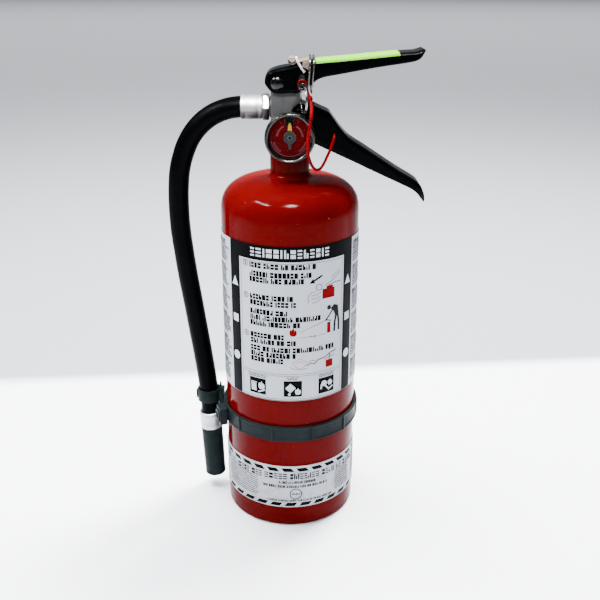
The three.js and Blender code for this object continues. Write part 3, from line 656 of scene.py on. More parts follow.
def mesh_object(name, shape):
    """An object from a shape in millimetres, just as drawn."""
    points, faces = shape
    mesh = bpy.data.meshes.new(name)
    mesh.from_pydata([place(p) for p in points], [], faces)
    return linked(name, mesh)


def raw_object(name, shape):
    """An object from a shape in millimetres, welded and with its normals outwards."""
    obj = mesh_object(name, shape)
    bm = bmesh.new()
    bm.from_mesh(obj.data)
    bmesh.ops.remove_doubles(bm, verts=bm.verts, dist=2e-6)
    bmesh.ops.recalc_face_normals(bm, faces=bm.faces)
    bm.to_mesh(obj.data)
    bm.free()
    return obj


def thickened(obj, thickness, offset):
    """Gives an open sheet its thickness in millimetres. The offset runs from -1 inside to 1 outside."""
    modifier = obj.modifiers.new("thickness", "SOLIDIFY")
    modifier.thickness = thickness * MM
    modifier.offset = offset
    settle(obj)
    return obj


def grid_faces(columns, rows):
    """The faces of a sheet whose points run along each of its columns in turn."""
    made = []
    for i in range(columns):
        for k in range(rows):
            a = i * (rows + 1) + k
            made.append((a, a + 1, a + 2 + rows, a + 1 + rows))
    return made


def combine(obj, shapes, operation):
    """Adds or cuts shapes, one after another, and applies the result."""
    for shape in shapes:
        tool = raw_object("tool", shape)
        modifier = obj.modifiers.new("combine", "BOOLEAN")
        modifier.operation = operation
        modifier.solver = "EXACT"
        modifier.object = tool
        settle(obj)
        bpy.data.objects.remove(tool)
    return obj


def settle(obj):
    """Applies the object's modifiers."""
    graph = bpy.context.evaluated_depsgraph_get()
    mesh = bpy.data.meshes.new_from_object(obj.evaluated_get(graph))
    obj.modifiers.clear()
    obj.data = mesh


def eased_plate(outline, low, high, width=0.45):
    """A prism along Y with rounded edges, back as a shape."""
    obj = raw_object("plate", prism(outline, low, high))
    bevel(obj, width, 3, 60)
    points = [(v.co.x / MM - AXIS_X, v.co.y / MM, v.co.z / MM) for v in obj.data.vertices]
    faces = [tuple(face.vertices) for face in obj.data.polygons]
    bpy.data.objects.remove(obj)
    return points, faces


def bevel(obj, width, segments=3, angle=40):
    """Rounds the edges that are sharper than the angle."""
    modifier = obj.modifiers.new("bevel", "BEVEL")
    modifier.width = width * MM
    modifier.segments = segments
    modifier.limit_method = "ANGLE"
    modifier.angle_limit = math.radians(angle)
    modifier.miter_outer = "MITER_ARC"
    settle(obj)


def shade(obj, angle=38):
    """Smooth shading, with edges over the angle kept sharp."""
    bm = bmesh.new()
    bm.from_mesh(obj.data)
    for face in bm.faces:
        face.smooth = True
    for edge in bm.edges:
        edge.smooth = len(edge.link_faces) != 2 or edge.calc_face_angle(0) < math.radians(angle)
    bm.to_mesh(obj.data)
    bm.free()


def finished(obj, body, finish, replaces=()):
    """Shades a piece, gives it its finish and hands it to its body."""
    shade(obj)
    obj.data.materials.clear()
    obj.data.materials.append(FINISHES[finish])
    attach(obj, body)
    if replaces:
        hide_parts(*replaces)
    return obj


def refined(node, body, finish, width, angle=30):
    """A CAD node's own shape with its edges rounded."""
    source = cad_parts[node]
    obj = linked(node + "_rounded", source.data.copy())
    bm = bmesh.new()
    bm.from_mesh(obj.data)
    bmesh.ops.remove_doubles(bm, verts=bm.verts, dist=1e-6)
    bmesh.ops.dissolve_limit(bm, angle_limit=math.radians(1), verts=bm.verts, edges=bm.edges)
    for edge in bm.edges:
        edge.smooth = True
    bm.to_mesh(obj.data)
    bm.free()
    bevel(obj, width, 3, angle)
    return finished(obj, body, finish, [node])


# ---- Hose and nozzle ------------------------------------------------------------------------


def hose():
    """The hose's centreline as a curve, with its real length and thickness."""
    path = smooth_path([place(p) for p in HOSE_ROUTE], 10)
    data = bpy.data.curves.new("hose_run", "CURVE")
    data.dimensions = "3D"
    data.bevel_depth = HOSE_RADIUS * MM
    data.bevel_resolution = 7
    data.use_fill_caps = True
    spline = data.splines.new("POLY")
    spline.points.add(len(path) - 1)
    for point, co in zip(spline.points, path):
        point.co = (*co, 1)
    spline.use_smooth = True
    obj = linked("hose_run", data)
    obj.data.materials.append(FINISHES["rubber"])
    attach(obj, "cylinder")
    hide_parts("hose")
    length = sum((b - a).length for a, b in zip(path, path[1:]))
    return obj, length


def crimped_profile(inner, outer, length):
    """A sleeve's section with shallow crimp grooves near each end."""
    profile = [(inner, 0), (outer - 0.35, 0), (outer, 0.4)]
    for groove in (0.2, 0.8):
        at = groove * length
        profile += [(outer, at - 0.7), (outer - 0.22, at - 0.25)]
        profile += [(outer - 0.22, at + 0.25), (outer, at + 0.7)]
    profile += [(outer, length - 0.4), (outer - 0.35, length), (inner, length)]
    return profile


def upper_ferrule():
    """The crimped sleeve against the hexagon."""
    length = 16.2
    sleeve = lathe(crimped_profile(HOSE_RADIUS + 0.1, FERRULE_RADIUS, length), 72)
    laid = moved(sleeve, along_axis((-1, 0, 0), (HEX_OUTER_X - 0.3, 0, HOSE_Z)))
    obj = raw_object("upper_sleeve", laid)
    return finished(obj, "cylinder", "ferrule_x", ["upper_ferrule"])


def lower_end_matrix():
    """Lays +Z up the hose from its cut end."""
    lean = Matrix.Rotation(math.radians(-NOZZLE_LEAN), 4, "Y")
    return Matrix.Translation(HOSE_END) @ lean


def lower_ferrule():
    """The crimped sleeve that joins the hose to the nozzle."""
    sleeve = lathe(crimped_profile(HOSE_RADIUS + 0.1, FERRULE_RADIUS + 0.1, 15.6), 72)
    obj = raw_object("lower_sleeve", moved(sleeve, lower_end_matrix()))
    return finished(obj, "cylinder", "ferrule_z", ["lower_ferrule"])


def nozzle():
    """A tapering black nozzle with a rolled lip and shallow grip rings."""
    tip = -NOZZLE_LENGTH
    profile = [(3, -0.3), (3, -30), (5.2, tip + 0.4), (5.6, tip), (8.3, tip), (8.9, tip + 0.7)]
    profile += [(9.0, tip + 3.2), (8.75, tip + 3.8), (8.8, tip + 5)]
    profile += [(9.15, -9), (9.0, -8.2), (9.0, -7.2), (9.15, -6.4), (9.15, -1), (8.9, -0.3)]
    obj = raw_object("nozzle_turned", moved(lathe(profile, 72), lower_end_matrix()))
    return finished(obj, "cylinder", "plastic", ["nozzle"])


def make_hose():
    """The hose as a cord, with the pieces that it carries."""
    run, length = hose()
    on_it = [upper_ferrule(), lower_ferrule(), nozzle()]


# ---- Cylinder and neck ----------------------------------------------------------------------


def dish(radius):
    """The height of the dished underside at a radius."""
    return DISH_RISE * (1 - (radius / FOOT_INNER_RADIUS) ** 2)


def dome(inset, steps):
    """The dome's superellipse, from the straight wall up to the neck."""
    neck_radius = NECK_HOLE_RADIUS + 2
    made = []
    for i in range(steps + 1):
        angle = 0.5 * math.pi * i / steps
        across = max(math.cos(angle), 0) ** (2 / DOME_FULLNESS)
        up = math.sin(angle) ** (2 / DOME_FULLNESS)
        r = neck_radius + (CYLINDER_RADIUS - neck_radius - inset) * across
        made.append((r, SHOULDER_Z + (DOME_TOP_Z - SHOULDER_Z - inset) * up))
    return made


def cylinder():
    """The hollow vessel: dished base, rounded foot, straight wall and domed shoulder."""
    radii = [FOOT_INNER_RADIUS * i / 12 for i in range(12)]
    foot = (CYLINDER_RADIUS - FOOT_ROUND, FOOT_ROUND)
    profile = [(r, dish(r)) for r in radii]
    profile += [(FOOT_INNER_RADIUS, 0)]
    profile += arc(foot, (FOOT_ROUND, FOOT_ROUND), -90, 0, 10)
    profile += dome(0, 36)
    profile += [(NECK_HOLE_RADIUS, DOME_TOP_Z), (NECK_HOLE_RADIUS, DOME_TOP_Z - WALL)]
    profile += reversed(dome(WALL, 16))
    profile += arc(foot, (FOOT_ROUND - WALL, FOOT_ROUND - WALL), 0, -90, 5)
    profile += [(FOOT_INNER_RADIUS, WALL)]
    profile += [(r, dish(r) + WALL) for r in reversed(radii)]
    obj = raw_object("vessel", lathe(profile, 144))
    return finished(obj, "cylinder", "red", ["cylinder_shell"])


def neck():
    """The neck ring, with eased edges."""
    outline = [
        (10.1, 281),
        (NECK_HOLE_RADIUS - 0.4, 281),
        (NECK_HOLE_RADIUS - 0.4, DOME_TOP_Z + 0.3),
        (COLLAR_RADIUS, DOME_TOP_Z + 0.3),
        (COLLAR_RADIUS, COLLAR_TOP_Z),
        (12.2, COLLAR_TOP_Z),
        (12.2, COLLAR_TOP_Z - 2.4),
        (10.1, COLLAR_TOP_Z - 2.4),
    ]
    obj = raw_object("neck_ring", lathe(filleted(outline, 0.8, 3), 96))
    return finished(obj, "cylinder", "red", ["neck_collar"])


def neck_weld():
    """The painted weld fillet between the neck ring and the dome, a little uneven."""
    rows = arc((COLLAR_RADIUS + 4.4, DOME_TOP_Z + 4.0), (4.4, 4.2), 180, 270, 8)
    profile = [(COLLAR_RADIUS + 0.05, DOME_TOP_Z + 0.1), *reversed(rows)]
    points, faces = lathe(profile, 120)
    uneven = []
    for x, y, z in points:
        ripple = 1 + 0.006 * noise.noise(Vector((x, y, z)) * 0.45)
        uneven.append((x * ripple, y * ripple, z))
    obj = raw_object("neck_weld", (uneven, faces))
    return finished(obj, "cylinder", "red")


# ---- Valve ----------------------------------------------------------------------------------


def valve():
    """The cast body: a block with a clevis, a flange, a neck plug and two bosses."""
    flange = COLLAR_TOP_Z + 0.3
    outline = [
        (-14, flange + 3),
        (12, flange + 3),
        (12, 340),
        (9, 343),
        (9, 350),
        (13.4, 355.5),
        (13.4, 361.6),
        (11.6, 363.4),
        (7, 363.4),
        (5.4, 361.8),
        (5.4, 352),
        (-3.6, 352),
        (-3.6, 361),
        (-5.5, 363),
        (-12, 363),
        (-14, 360.5),
    ]
    obj = raw_object("valve_casting", prism(filleted(outline, 1.4), -10, 10))
    bevel(obj, 1.0)
    flange_disc = filleted([(0.001, flange), (15, flange), (15, flange + 4), (0.001, flange + 4)], 0.7, 3)
    neck_plug = [(0.001, 283), (9.8, 283), (9.8, flange + 1), (0.001, flange + 1)]
    gauge_boss = filleted([(0.001, 0), (6.2, 0), (6.2, 4), (0.001, 4)], 0.4, 2)
    hose_boss = filleted([(0.001, 0), (8, 0), (8, 2.1), (0.001, 2.1)], 0.5, 2)
    added = [
        lathe(flange_disc, 72),
        lathe(neck_plug, 48),
        moved(lathe(gauge_boss, 48), along_axis((0, -1, 0), (0, -9, GAUGE_Z))),
        moved(lathe(hose_boss, 48), along_axis((-1, 0, 0), (-13, 0, HOSE_Z))),
    ]
    combine(obj, added, "UNION")
    return finished(obj, "cylinder", "cast", ["valve_body"])


def rivet(node, at, shank, head, finish):
    """A rivet with a domed head on each side."""
    cheek = CHANNEL_HALF + 0.3
    rise = 2.2
    under = cheek - 0.15
    top_head = arc((0, cheek), (head, rise), 0, 90, 8)
    top_head[-1] = (0, cheek + rise)
    side = [(r, -z) for r, z in reversed(top_head)]
    side += [(head - 0.3, -under), (shank, -under), (shank, under), (head - 0.3, under)]
    side += top_head
    x, z = at
    obj = raw_object(node + "_domed", moved(lathe(side, 48), along_axis((0, 1, 0), (x, 0, z))))
    return finished(obj, "cylinder", finish, [node])


def hose_fitting():
    """A hexagon with chamfered corners and a turned collar."""
    x0 = HEX_OUTER_X
    hexagon = arc((0, HOSE_Z), (10.6, 10.6), 0, 300, 5)
    points = [(x, y, z) for x in (x0, x0 + 4.7) for y, z in hexagon]
    faces = [tuple(range(5, -1, -1)), tuple(range(6, 12))]
    faces += [(i, (i + 1) % 6, (i + 1) % 6 + 6, i + 6) for i in range(6)]
    obj = raw_object("hex_fitting", (points, faces))
    bevel(obj, 0.5)
    spigot = lathe([(2.4, 0), (3.7, 0), (3.7, 9.8), (2.4, 9.8)], 32)
    combine(obj, [moved(spigot, along_axis((1, 0, 0), (x0, 0, HOSE_Z)))], "UNION")
    return finished(obj, "cylinder", "hexagon", ["hose_fitting"])


# ---- Lever and carrying handle --------------------------------------------------------------


CHEEK_ROWS = 6
FOLD_ROWS = 6
WEB_ROWS = 4
RIM_ROWS = 5


class Channel:
    """A sheet folded lengthways. Each station pairs a point of the web's top line with one of the
    cheeks' lower edge, both in side view."""

    def __init__(self, stations, fold, tip_round):
        tops = [(top[0], 0, top[1]) for top, _ in stations]
        bottoms = [(bottom[0], 0, bottom[1]) for _, bottom in stations]
        self.top = smooth_path(tops, 8)
        self.bottom = smooth_path(bottoms, 8)
        self.fold = fold
        self.tip_round = tip_round
        self.tip_x = max(p.x for p in self.top)

    def half_width(self, x):
        """Half the width at a place along the channel, rounded off towards the tip."""
        past = x - (self.tip_x - self.tip_round)
        if past <= 0:
            return CHANNEL_HALF
        past = min(past, self.tip_round)
        return CHANNEL_HALF - self.tip_round + math.sqrt(self.tip_round**2 - past**2)

    def frame_at(self, i):
        """The web's point, the way across the sheet, the width and the lower edge at a station."""
        before = self.top[max(i - 1, 0)]
        after = self.top[min(i + 1, len(self.top) - 1)]
        along = (after - before).normalized()
        inward = Vector((along.z, 0, -along.x))
        return self.top[i], inward, self.half_width(self.top[i].x), self.bottom[i]

    def side(self, top, inward, half, bottom, fold):
        """Points from the front cheek's lower edge over the web to the back cheek's."""
        fold = min(fold, 0.6 * (top - bottom).length, 0.9 * half)
        shoulder = top + inward * fold
        front = []
        for k in range(CHEEK_ROWS):
            point = bottom.lerp(shoulder, k / CHEEK_ROWS)
            front.append(Vector((point.x, -half, point.z)))
        for k in range(FOLD_ROWS + 1):
            angle = math.pi / 2 * k / FOLD_ROWS
            point = top + inward * fold * (1 - math.sin(angle))
            front.append(Vector((point.x, -(half - fold) - fold * math.cos(angle), point.z)))
        web = []
        for k in range(1, WEB_ROWS):
            y = (half - fold) * (2 * k / WEB_ROWS - 1)
            web.append(Vector((top.x, y, top.z)))
        back = [Vector((p.x, -p.y, p.z)) for p in reversed(front)]
        return front + web + back

    def section(self, i):
        """The closed section at a station: its outer side, its inner side and two round rims."""
        top, inward, half, edge = self.frame_at(i)
        sheet = min(SHEET, 0.7 * (top - edge).length)
        down = (edge - top).normalized()
        bottom = edge - down * sheet / 2
        outer = self.side(top, inward, half, bottom, self.fold)
        inner = self.side(top + inward * sheet, inward, half - sheet, bottom, max(self.fold - sheet, 0.5))
        rim = []
        for k in range(1, RIM_ROWS):
            angle = math.pi * k / RIM_ROWS
            point = bottom + down * sheet / 2 * math.sin(angle)
            rim.append(Vector((point.x, half - sheet / 2 * (1 - math.cos(angle)), point.z)))
        front_rim = [Vector((p.x, -p.y, p.z)) for p in reversed(rim)]
        return outer, rim, inner[::-1], front_rim


def channel_shape(channel):
    """The folded sheet as a closed shape."""
    points = []
    faces = []
    for i in range(len(channel.top)):
        outer, rim, inner, front_rim = channel.section(i)
        points += outer + rim + inner + front_rim
    row = len(points) // len(channel.top)
    for i in range(len(channel.top) - 1):
        for k in range(row):
            m = (k + 1) % row
            faces.append((i * row + k, i * row + m, (i + 1) * row + m, (i + 1) * row + k))
    side = len(outer)
    for start in (0, len(points) - row):
        far = side + len(rim)
        for k in range(side - 1):
            pair = (far + side - 1 - k, far + side - 2 - k)
            faces.append((start + k, start + k + 1, start + pair[1], start + pair[0]))
        faces.append(tuple(start + k for k in range(side - 1, far + 1)))
        faces.append((*(start + k for k in range(far + side - 1, row)), start))
    return points, faces


def lever_channel():
    """The lever's folded sheet, from its rounded back to its upturned tip."""
    stations = [
        ((-18.3, 357.4), (-18.1, 356.6)),
        ((-17.8, 361.2), (-16.2, 353.6)),
        ((-15.2, 364.7), (-12.8, 350.4)),
        ((-11, 366.7), (-8.5, 349.6)),
        ((-0.5, 369), (-0.5, 349.9)),
        ((8, 370.8), (7.2, 350.3)),
        ((12.5, 371.6), (11.6, 353.4)),
        ((17.5, 372.4), (17, 356.8)),
        ((21, 372.8), (20.4, 359.4)),
        ((26, 373.3), (24.8, 361.1)),
        ((37, 374.2), (36.5, 363.3)),
        ((66, 377), (65.3, 368.4)),
        ((86, 378.9), (86, 371.5)),
        ((91.6, 379.3), (91.2, 372.6)),
        ((95, 380.2), (94.6, 374.4)),
        ((97, 380.9), (96.4, 376.2)),
        ((98.3, 380.4), (97.4, 377.6)),
        ((98.8, 379.2), (98, 378.2)),
    ]
    return Channel(stations, 3.0, 5)


def pin_slot():
    """A slot curved about the pivot, so that the lever can turn with the pin in it."""
    reach = math.hypot(PIN[0] - PIVOT[0], PIN[1] - PIVOT[1])
    rest = math.degrees(math.atan2(PIN[1] - PIVOT[1], PIN[0] - PIVOT[0]))
    top = rest + SLOT_SWEEP
    half = PIN_RADIUS + 0.5
    far_end = arc(PIVOT, (reach, reach), top, top, 1)[0]
    slot = arc(PIVOT, (reach + half, reach + half), rest, top, 8)
    slot += arc(far_end, (half, half), top + 20, top + 160, 7)
    slot += arc(PIVOT, (reach - half, reach - half), top, rest, 8)
    slot += arc(PIN, (half, half), 200, 340, 7)
    return slot


def lever():
    """The squeeze lever, with its pin slot, its pivot hole and a pad that bears on the stem."""
    obj = raw_object("squeeze_lever", channel_shape(lever_channel()))
    pivot_hole = arc(PIVOT, (PIVOT_HOLE_RADIUS, PIVOT_HOLE_RADIUS), 0, 350, 35)
    across = (-CHANNEL_HALF - 1, CHANNEL_HALF + 1)
    cuts = [prism(outline, *across) for outline in (pin_slot(), pivot_hole)]
    combine(obj, cuts, "DIFFERENCE")
    pad = prism(filleted([(-3, 361), (2.5, 361), (2.5, 368.6), (-3, 367.4)], 0.5, 2), -5, 5)
    combine(obj, [pad], "UNION")
    return finished(obj, "lever", "black", ["discharge_lever"])


def tape():
    """Reflective tape laid on the web and turned down over its front edge."""
    channel = lever_channel()
    points = []
    columns = 0
    for i in range(len(channel.top)):
        top, inward, half, _ = channel.frame_at(i)
        if not 18.6 <= top.x <= 81:
            continue
        fold = channel.fold
        row = []
        for k in range(6):
            angle = math.pi / 2 * (0.25 + 0.75 * k / 5)
            lifted = fold + 0.14
            point = top + inward * (fold - lifted * math.sin(angle))
            row.append(Vector((point.x, -(half - fold) - lifted * math.cos(angle), point.z)))
        for k in range(1, 9):
            y = -(half - fold) + (2 * half - fold - 1.2) * k / 8
            point = top - inward * 0.14
            row.append(Vector((point.x, y, point.z)))
        points += row
        columns = len(row)
    faces = grid_faces(len(points) // columns - 1, columns - 1)
    obj = mesh_object("tape_strip", (points, faces))
    obj.data.flip_normals()
    thickened(obj, 0.12, -1)
    return finished(obj, "lever", "tape", ["lever_tape"])


def handle():
    """The carrying handle: a folded channel whose cheeks run on as two ears beside the valve."""
    stations = [
        ((18, 340.7), (18, 313.1)),
        ((24, 338.1), (25.5, 309.6)),
        ((29.2, 335.6), (32, 306.6)),
        ((31.4, 333), (35.6, 305)),
        ((33.6, 329.8), (39, 303.4)),
        ((43.6, 317.8), (50, 298.3)),
        ((56, 309.5), (63, 292.1)),
        ((69, 301), (74.6, 286.7)),
        ((84, 291.4), (85.6, 281.6)),
        ((97.2, 283.3), (93.6, 277.6)),
        ((100.6, 279.6), (97.4, 274.6)),
        ((102.2, 276), (99.8, 271.6)),
        ((103.6, 272.6), (101.4, 269.4)),
        ((104, 269.6), (102.4, 267.8)),
        ((103.6, 267.9), (102.9, 267.3)),
    ]
    obj = raw_object("handle_channel", channel_shape(Channel(stations, 2.6, 5)))
    ear = [(6.5, 308.9), (15, 308.9), (18.6, 312.6), (20, 339.6), (18, 340.6), (12.5, 340.8)]
    ear += arc(HANDLE_RIVETS[0], (6.8, 6.8), 52, 180, 14)
    ear += [(1.2, 325)]
    inner = CHANNEL_HALF - SHEET
    for low, high in ((-CHANNEL_HALF, -inner), (inner, CHANNEL_HALF)):
        combine(obj, [eased_plate(ear, low, high)], "UNION")
    port = arc((0, GAUGE_Z), (6.7, 6.7), 0, 351, 39)
    seal_hole = arc((33.2, 319.6), (2, 2), 0, 345, 23)
    across = (-CHANNEL_HALF - 1, CHANNEL_HALF + 1)
    cuts = [prism(port, across[0], -inner + 1), prism(seal_hole, *across)]
    cuts += [prism(arc(at, (2.2, 2.2), 0, 345, 23), *across) for at in HANDLE_RIVETS]
    combine(obj, cuts, "DIFFERENCE")
    return finished(obj, "cylinder", "black", ["carry_handle"])


# ---- Pull pin, ring, seal and tag -----------------------------------------------------------


def pull_pin():
    """A straight pin with a rounded far end and a bent wire eye."""
    x, z = PIN
    path = [(x, y, z) for y in (16.5, 16.2, 15.6, 14.6, -15.4, -16.3)]
    shank = tube(path, [0.7, 1.3, 1.75, PIN_RADIUS, PIN_RADIUS, 1.2], 24)
    tilt = Matrix.Rotation(math.radians(90 - EYE_TILT), 4, "X")
    loop = [(*point, 0) for point in arc((0, 0), (2.9, 2.9), 0, 351, 39)]
    eye = moved(tube(loop, 0.9, 14, closed=True), Matrix.Translation(EYE) @ tilt)
    obj = raw_object("pin_and_eye", shank)
    combine(obj, [eye], "UNION")
    return finished(obj, "pin", "rivet_steel", ["pull_pin"])


def pull_ring():
    """A split ring: two turns of round wire, pressed together."""
    lean = math.radians(RING_LEAN)
    centre = Vector((0, -RING_RADIUS * math.sin(lean), -RING_RADIUS * math.cos(lean)))
    steps = 150
    turns = 1.93
    path = []
    for i in range(steps + 1):
        angle = 2 * math.pi * turns * i / steps + 2.4
        across = 0.42 * math.tanh(7 * (i / steps - 0.5))
        path.append(centre + Vector((across, RING_RADIUS * math.sin(angle), RING_RADIUS * math.cos(angle))))
    radii = [0.44] * (steps + 1)
    radii[0] = radii[-1] = 0.3
    turn = Matrix.Translation(EYE) @ Matrix.Rotation(math.radians(-RING_TURN), 4, "Z")
    obj = raw_object("split_ring", moved(tube(path, radii, 12), turn))
    return finished(obj, "ring", "steel", ["pull_ring"])


def tamper_seal():
    """A thin moulded tie, from a loop round the pin to the hole in the handle."""
    x, z = PIN
    run = [
        (x + 2, -14.5, z - 2.2),
        (12.2, -16.6, 352),
        (13.6, -17.8, 349.4),
        (14.8, -19, 347),
        (15.7, -23, 342.4),
        (15.5, -28.6, 337.4),
        (14.6, -31.2, 330.4),
        (13.2, -31.4, 321),
        (12.8, -31.2, 313.4),
        (14, -30.4, 306),
        (16.8, -28, 299.2),
        (20, -25, 296),
        (23.2, -22.4, 297),
        (27.4, -19.6, 304),
        (30.8, -17.4, 312),
        (32.8, -15.6, 318),
        (33.2, -13.4, 319.6),
        (33.2, -10.8, 319.6),
    ]
    path = smooth_path(run, 8)
    radii = [1.25 - 0.2 * i / len(path) for i in range(len(path))]
    obj = raw_object("moulded_tie", tube(path, radii, 14))
    loop = [(u, -14.4, v) for u, v in arc(PIN, (2.95, 2.95), 0, 350, 35)]
    bead = filleted([(0.001, -2), (1.5, -2), (2.1, 0), (1.5, 2), (0.001, 2)], 0.9, 4)
    bead_place = along_axis((0.9, -2, -3.6), (14.8, -19, 347))
    added = [tube(loop, 0.75, 12, closed=True), moved(lathe(bead, 24), bead_place)]
    combine(obj, added, "UNION")
    return finished(obj, "pin", "seal_red", ["tamper_seal"])


def tag_ring():
    """A flat double-turn ring that passes round the lever."""
    half_width, half_height, corner = 14.9, 12.3, 5
    outline = []
    for centre_y, centre_z, start in ((1, 1, 0), (-1, 1, 90), (-1, -1, 180), (1, -1, 270)):
        middle = (centre_y * (half_width - corner), centre_z * (half_height - corner))
        outline += arc(middle, (corner, corner), start, start + 90, 10)
    tilt = Matrix.Translation((15.5, 0, 362.4)) @ Matrix.Rotation(math.radians(4), 4, "Y")
    turns = []
    for side in (-1, 1):
        path = [(side * (0.95 + 0.5 * math.cos(z / half_height)), y, z) for y, z in outline]
        turns.append(moved(tube(path, 0.72, 12, closed=True), tilt))
    obj = raw_object("tag_loop", turns[0])
    for piece in (obj, raw_object("tag_loop_second", turns[1])):
        finished(piece, "lever", "steel")
    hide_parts("tag_ring")


def tag_stub():
    """A torn, crumpled sleeve of kraft paper: rolled up at its left end, folded over in front."""
    line = [(14.2, 373.3), (12.4, 372.7), (9.8, 372.2), (7, 371.7), (4.4, 371)]
    for k in range(28):
        angle = math.radians(-70 - 12 * k)
        radius = 3.2 - 0.02 * k
        line.append((1.9 + radius * math.cos(angle), 372.1 + 0.75 * radius * math.sin(angle)))
    rows = 20
    points = []
    for i, (x, z) in enumerate(line):
        front = -12.7 + 0.45 * min(i, 6)
        for k in range(rows + 1):
            y = front + (6.5 - front) * k / rows
            crease = noise.noise(Vector((x * 0.4, y * 0.3, z * 0.4)))
            torn = 1.1 * noise.noise(Vector((x * 0.9, 0, 3.1))) if k in (0, rows) else 0
            points.append((x + 0.3 * crease, y + torn, z + 0.3 + 0.4 * crease))
    obj = mesh_object("paper_stub", (points, grid_faces(len(line) - 1, rows)))
    thickened(obj, PAPER, 0)
    return finished(obj, "lever", "paper", ["tag_stub"])


def tag_flap():
    """The paper's torn front flap, bent down over the lever's front edge."""
    columns = 8
    rows = 10
    points = []
    for i in range(columns + 1):
        x = 9.6 + 4.6 * i / columns
        for k in range(rows + 1):
            drop = k / rows * (3.6 + 3.2 * i / columns)
            out = min(1.0, drop / 1.6)
            wave = 0.3 * noise.noise(Vector((x * 0.5, drop * 0.6, 1.7)))
            z = 372.5 + 0.16 * (x - 9.6) - drop + 0.5 * (1 - out)
            points.append((x - 0.1 * drop, -12.2 - 0.8 * out + wave, z))
    obj = mesh_object("paper_flap", (points, grid_faces(columns, rows)))
    thickened(obj, PAPER, 0)
    return finished(obj, "lever", "paper")


def tag_wire():
    """Two pale wires twisted together, from the paper's roll down the lever's front cheek."""
    run = [
        (5, -9.5, 375.4),
        (5.2, -12.6, 373.9),
        (7.4, -13.9, 369.8),
        (9.4, -14, 367),
        (10.7, -14, 365.2),
    ]
    path = smooth_path(run, 12)
    for side in (0, math.pi):
        twist = []
        for i, point in enumerate(path):
            angle = 0.42 * i + side
            aside = Vector((math.cos(angle), 0.5 * math.sin(angle), math.sin(angle)))
            twist.append(point + 0.42 * aside)
        obj = raw_object("twisted_wire", tube(twist, 0.52, 12))
        finished(obj, "lever", "cord", ["tag_wire"] if side == 0 else ())


# ---- Pressure gauge -------------------------------------------------------------------------


def gauge_matrix():
    """Gauge pieces are drawn about Z from the case's back, with +Y up once mounted."""
    return Matrix.Translation((0, GAUGE_BACK_Y, GAUGE_Z)) @ Matrix.Rotation(math.pi / 2, 4, "X")


def gauge_part(name, shape, finish, replaces=(), body="cylinder"):
    """A finished piece of the gauge."""
    obj = raw_object(name, moved(shape, gauge_matrix()))
    return finished(obj, body, finish, replaces)


def flat_shapes(outlines, low, high):
    """Thin plates of (x, y) outlines between two heights."""
    points = []
    faces = []
    for outline in outlines:
        start = len(points)
        count = len(outline)
        points += [(x, y, low) for x, y in outline] + [(x, y, high) for x, y in outline]
        faces.append(tuple(start + i for i in range(count - 1, -1, -1)))
        faces.append(tuple(start + count + i for i in range(count)))
        for i in range(count):
            j = (i + 1) % count
            faces.append((start + i, start + j, start + count + j, start + count + i))
    return points, faces


def sector(inner, outer, start, end, steps=10):
    """A piece of a flat ring, between two angles in degrees."""
    outside = arc((0, 0), (outer, outer), start, end, steps)
    return outside + arc((0, 0), (inner, inner), end, start, steps)


def gauge():
    """The case as an open cup, the rolled rim, a shadow ring, the window, the dial and needle."""
    rim = GAUGE_RADIUS
    case_radius = rim - 1.4
    glass = GAUGE_DEPTH - 2.4
    cup = filleted(
        [(3.4, 0), (case_radius, 0), (case_radius, glass - 0.3), (case_radius - 1, glass - 0.3),
         (case_radius - 1, 1), (3.4, 1)], 1.2, 4)
    bezel = filleted(
        [(rim - 1.1, 5), (rim - 0.2, 5), (rim, 6), (rim, GAUGE_DEPTH - 1.2), (rim - 0.9, GAUGE_DEPTH),
         (rim - 2.0, GAUGE_DEPTH), (rim - 3.0, GAUGE_DEPTH - 0.95), (rim - 1.1, GAUGE_DEPTH - 1)], 0.5, 4)
    inner = filleted(
        [(rim - 3.4, 7.4), (rim - 2.6, 7.4), (rim - 2.6, glass - 0.1), (rim - 3.4, glass - 0.1)], 0.2, 3)
    lens = [(0, glass), (rim - 1.5, glass), (rim - 1.5, glass + 1), (0, glass + 1)]
    gauge_part("gauge_cup", lathe(cup, 96), "gauge_steel", ["gauge_case"])
    gauge_part("gauge_rim", lathe(bezel, 128), "gauge_steel", ["gauge_bezel"])
    gauge_part("gauge_shadow_ring", lathe(inner, 96), "plastic")
    gauge_part("gauge_window", lathe(lens, 96), "lens", ["gauge_lens"])
    gauge_dial(7.2)
    gauge_needle(7.6)


def gauge_dial(face):
    """The red face with its green sector, pale scale marks and broken pale arcs."""
    edge = GAUGE_RADIUS - 2.8
    plate = [(1.2, face - 0.6), (edge, face - 0.6), (edge, face), (1.2, face)]
    gauge_part("dial_plate", lathe(plate, 96), "dial_red", ["gauge_dial"])
    green = [sector(7.0, 14.2, 76, 106, 12)]
    gauge_part("dial_green", flat_shapes(green, face, face + 0.04), "ink_green")
    pale = []
    for start, end, radius in ((118, 176, 9.4), (4, 62, 9.4), (196, 236, 12.2), (304, 344, 12.2)):
        angle = start
        while angle + 3.4 < end:
            pale.append(sector(radius - 0.75, radius + 0.75, angle, angle + 3.4, 2))
            angle += 5.2
    for angle in (60, 76, 106, 122):
        pale.append(sector(11.6, 14.0, angle - 0.7, angle + 0.7, 1))
    pale.append(sector(13.6, 14.3, 190, 350, 40))
    gauge_part("dial_marks", flat_shapes(pale, face + 0.04, face + 0.08), "dial_pale")


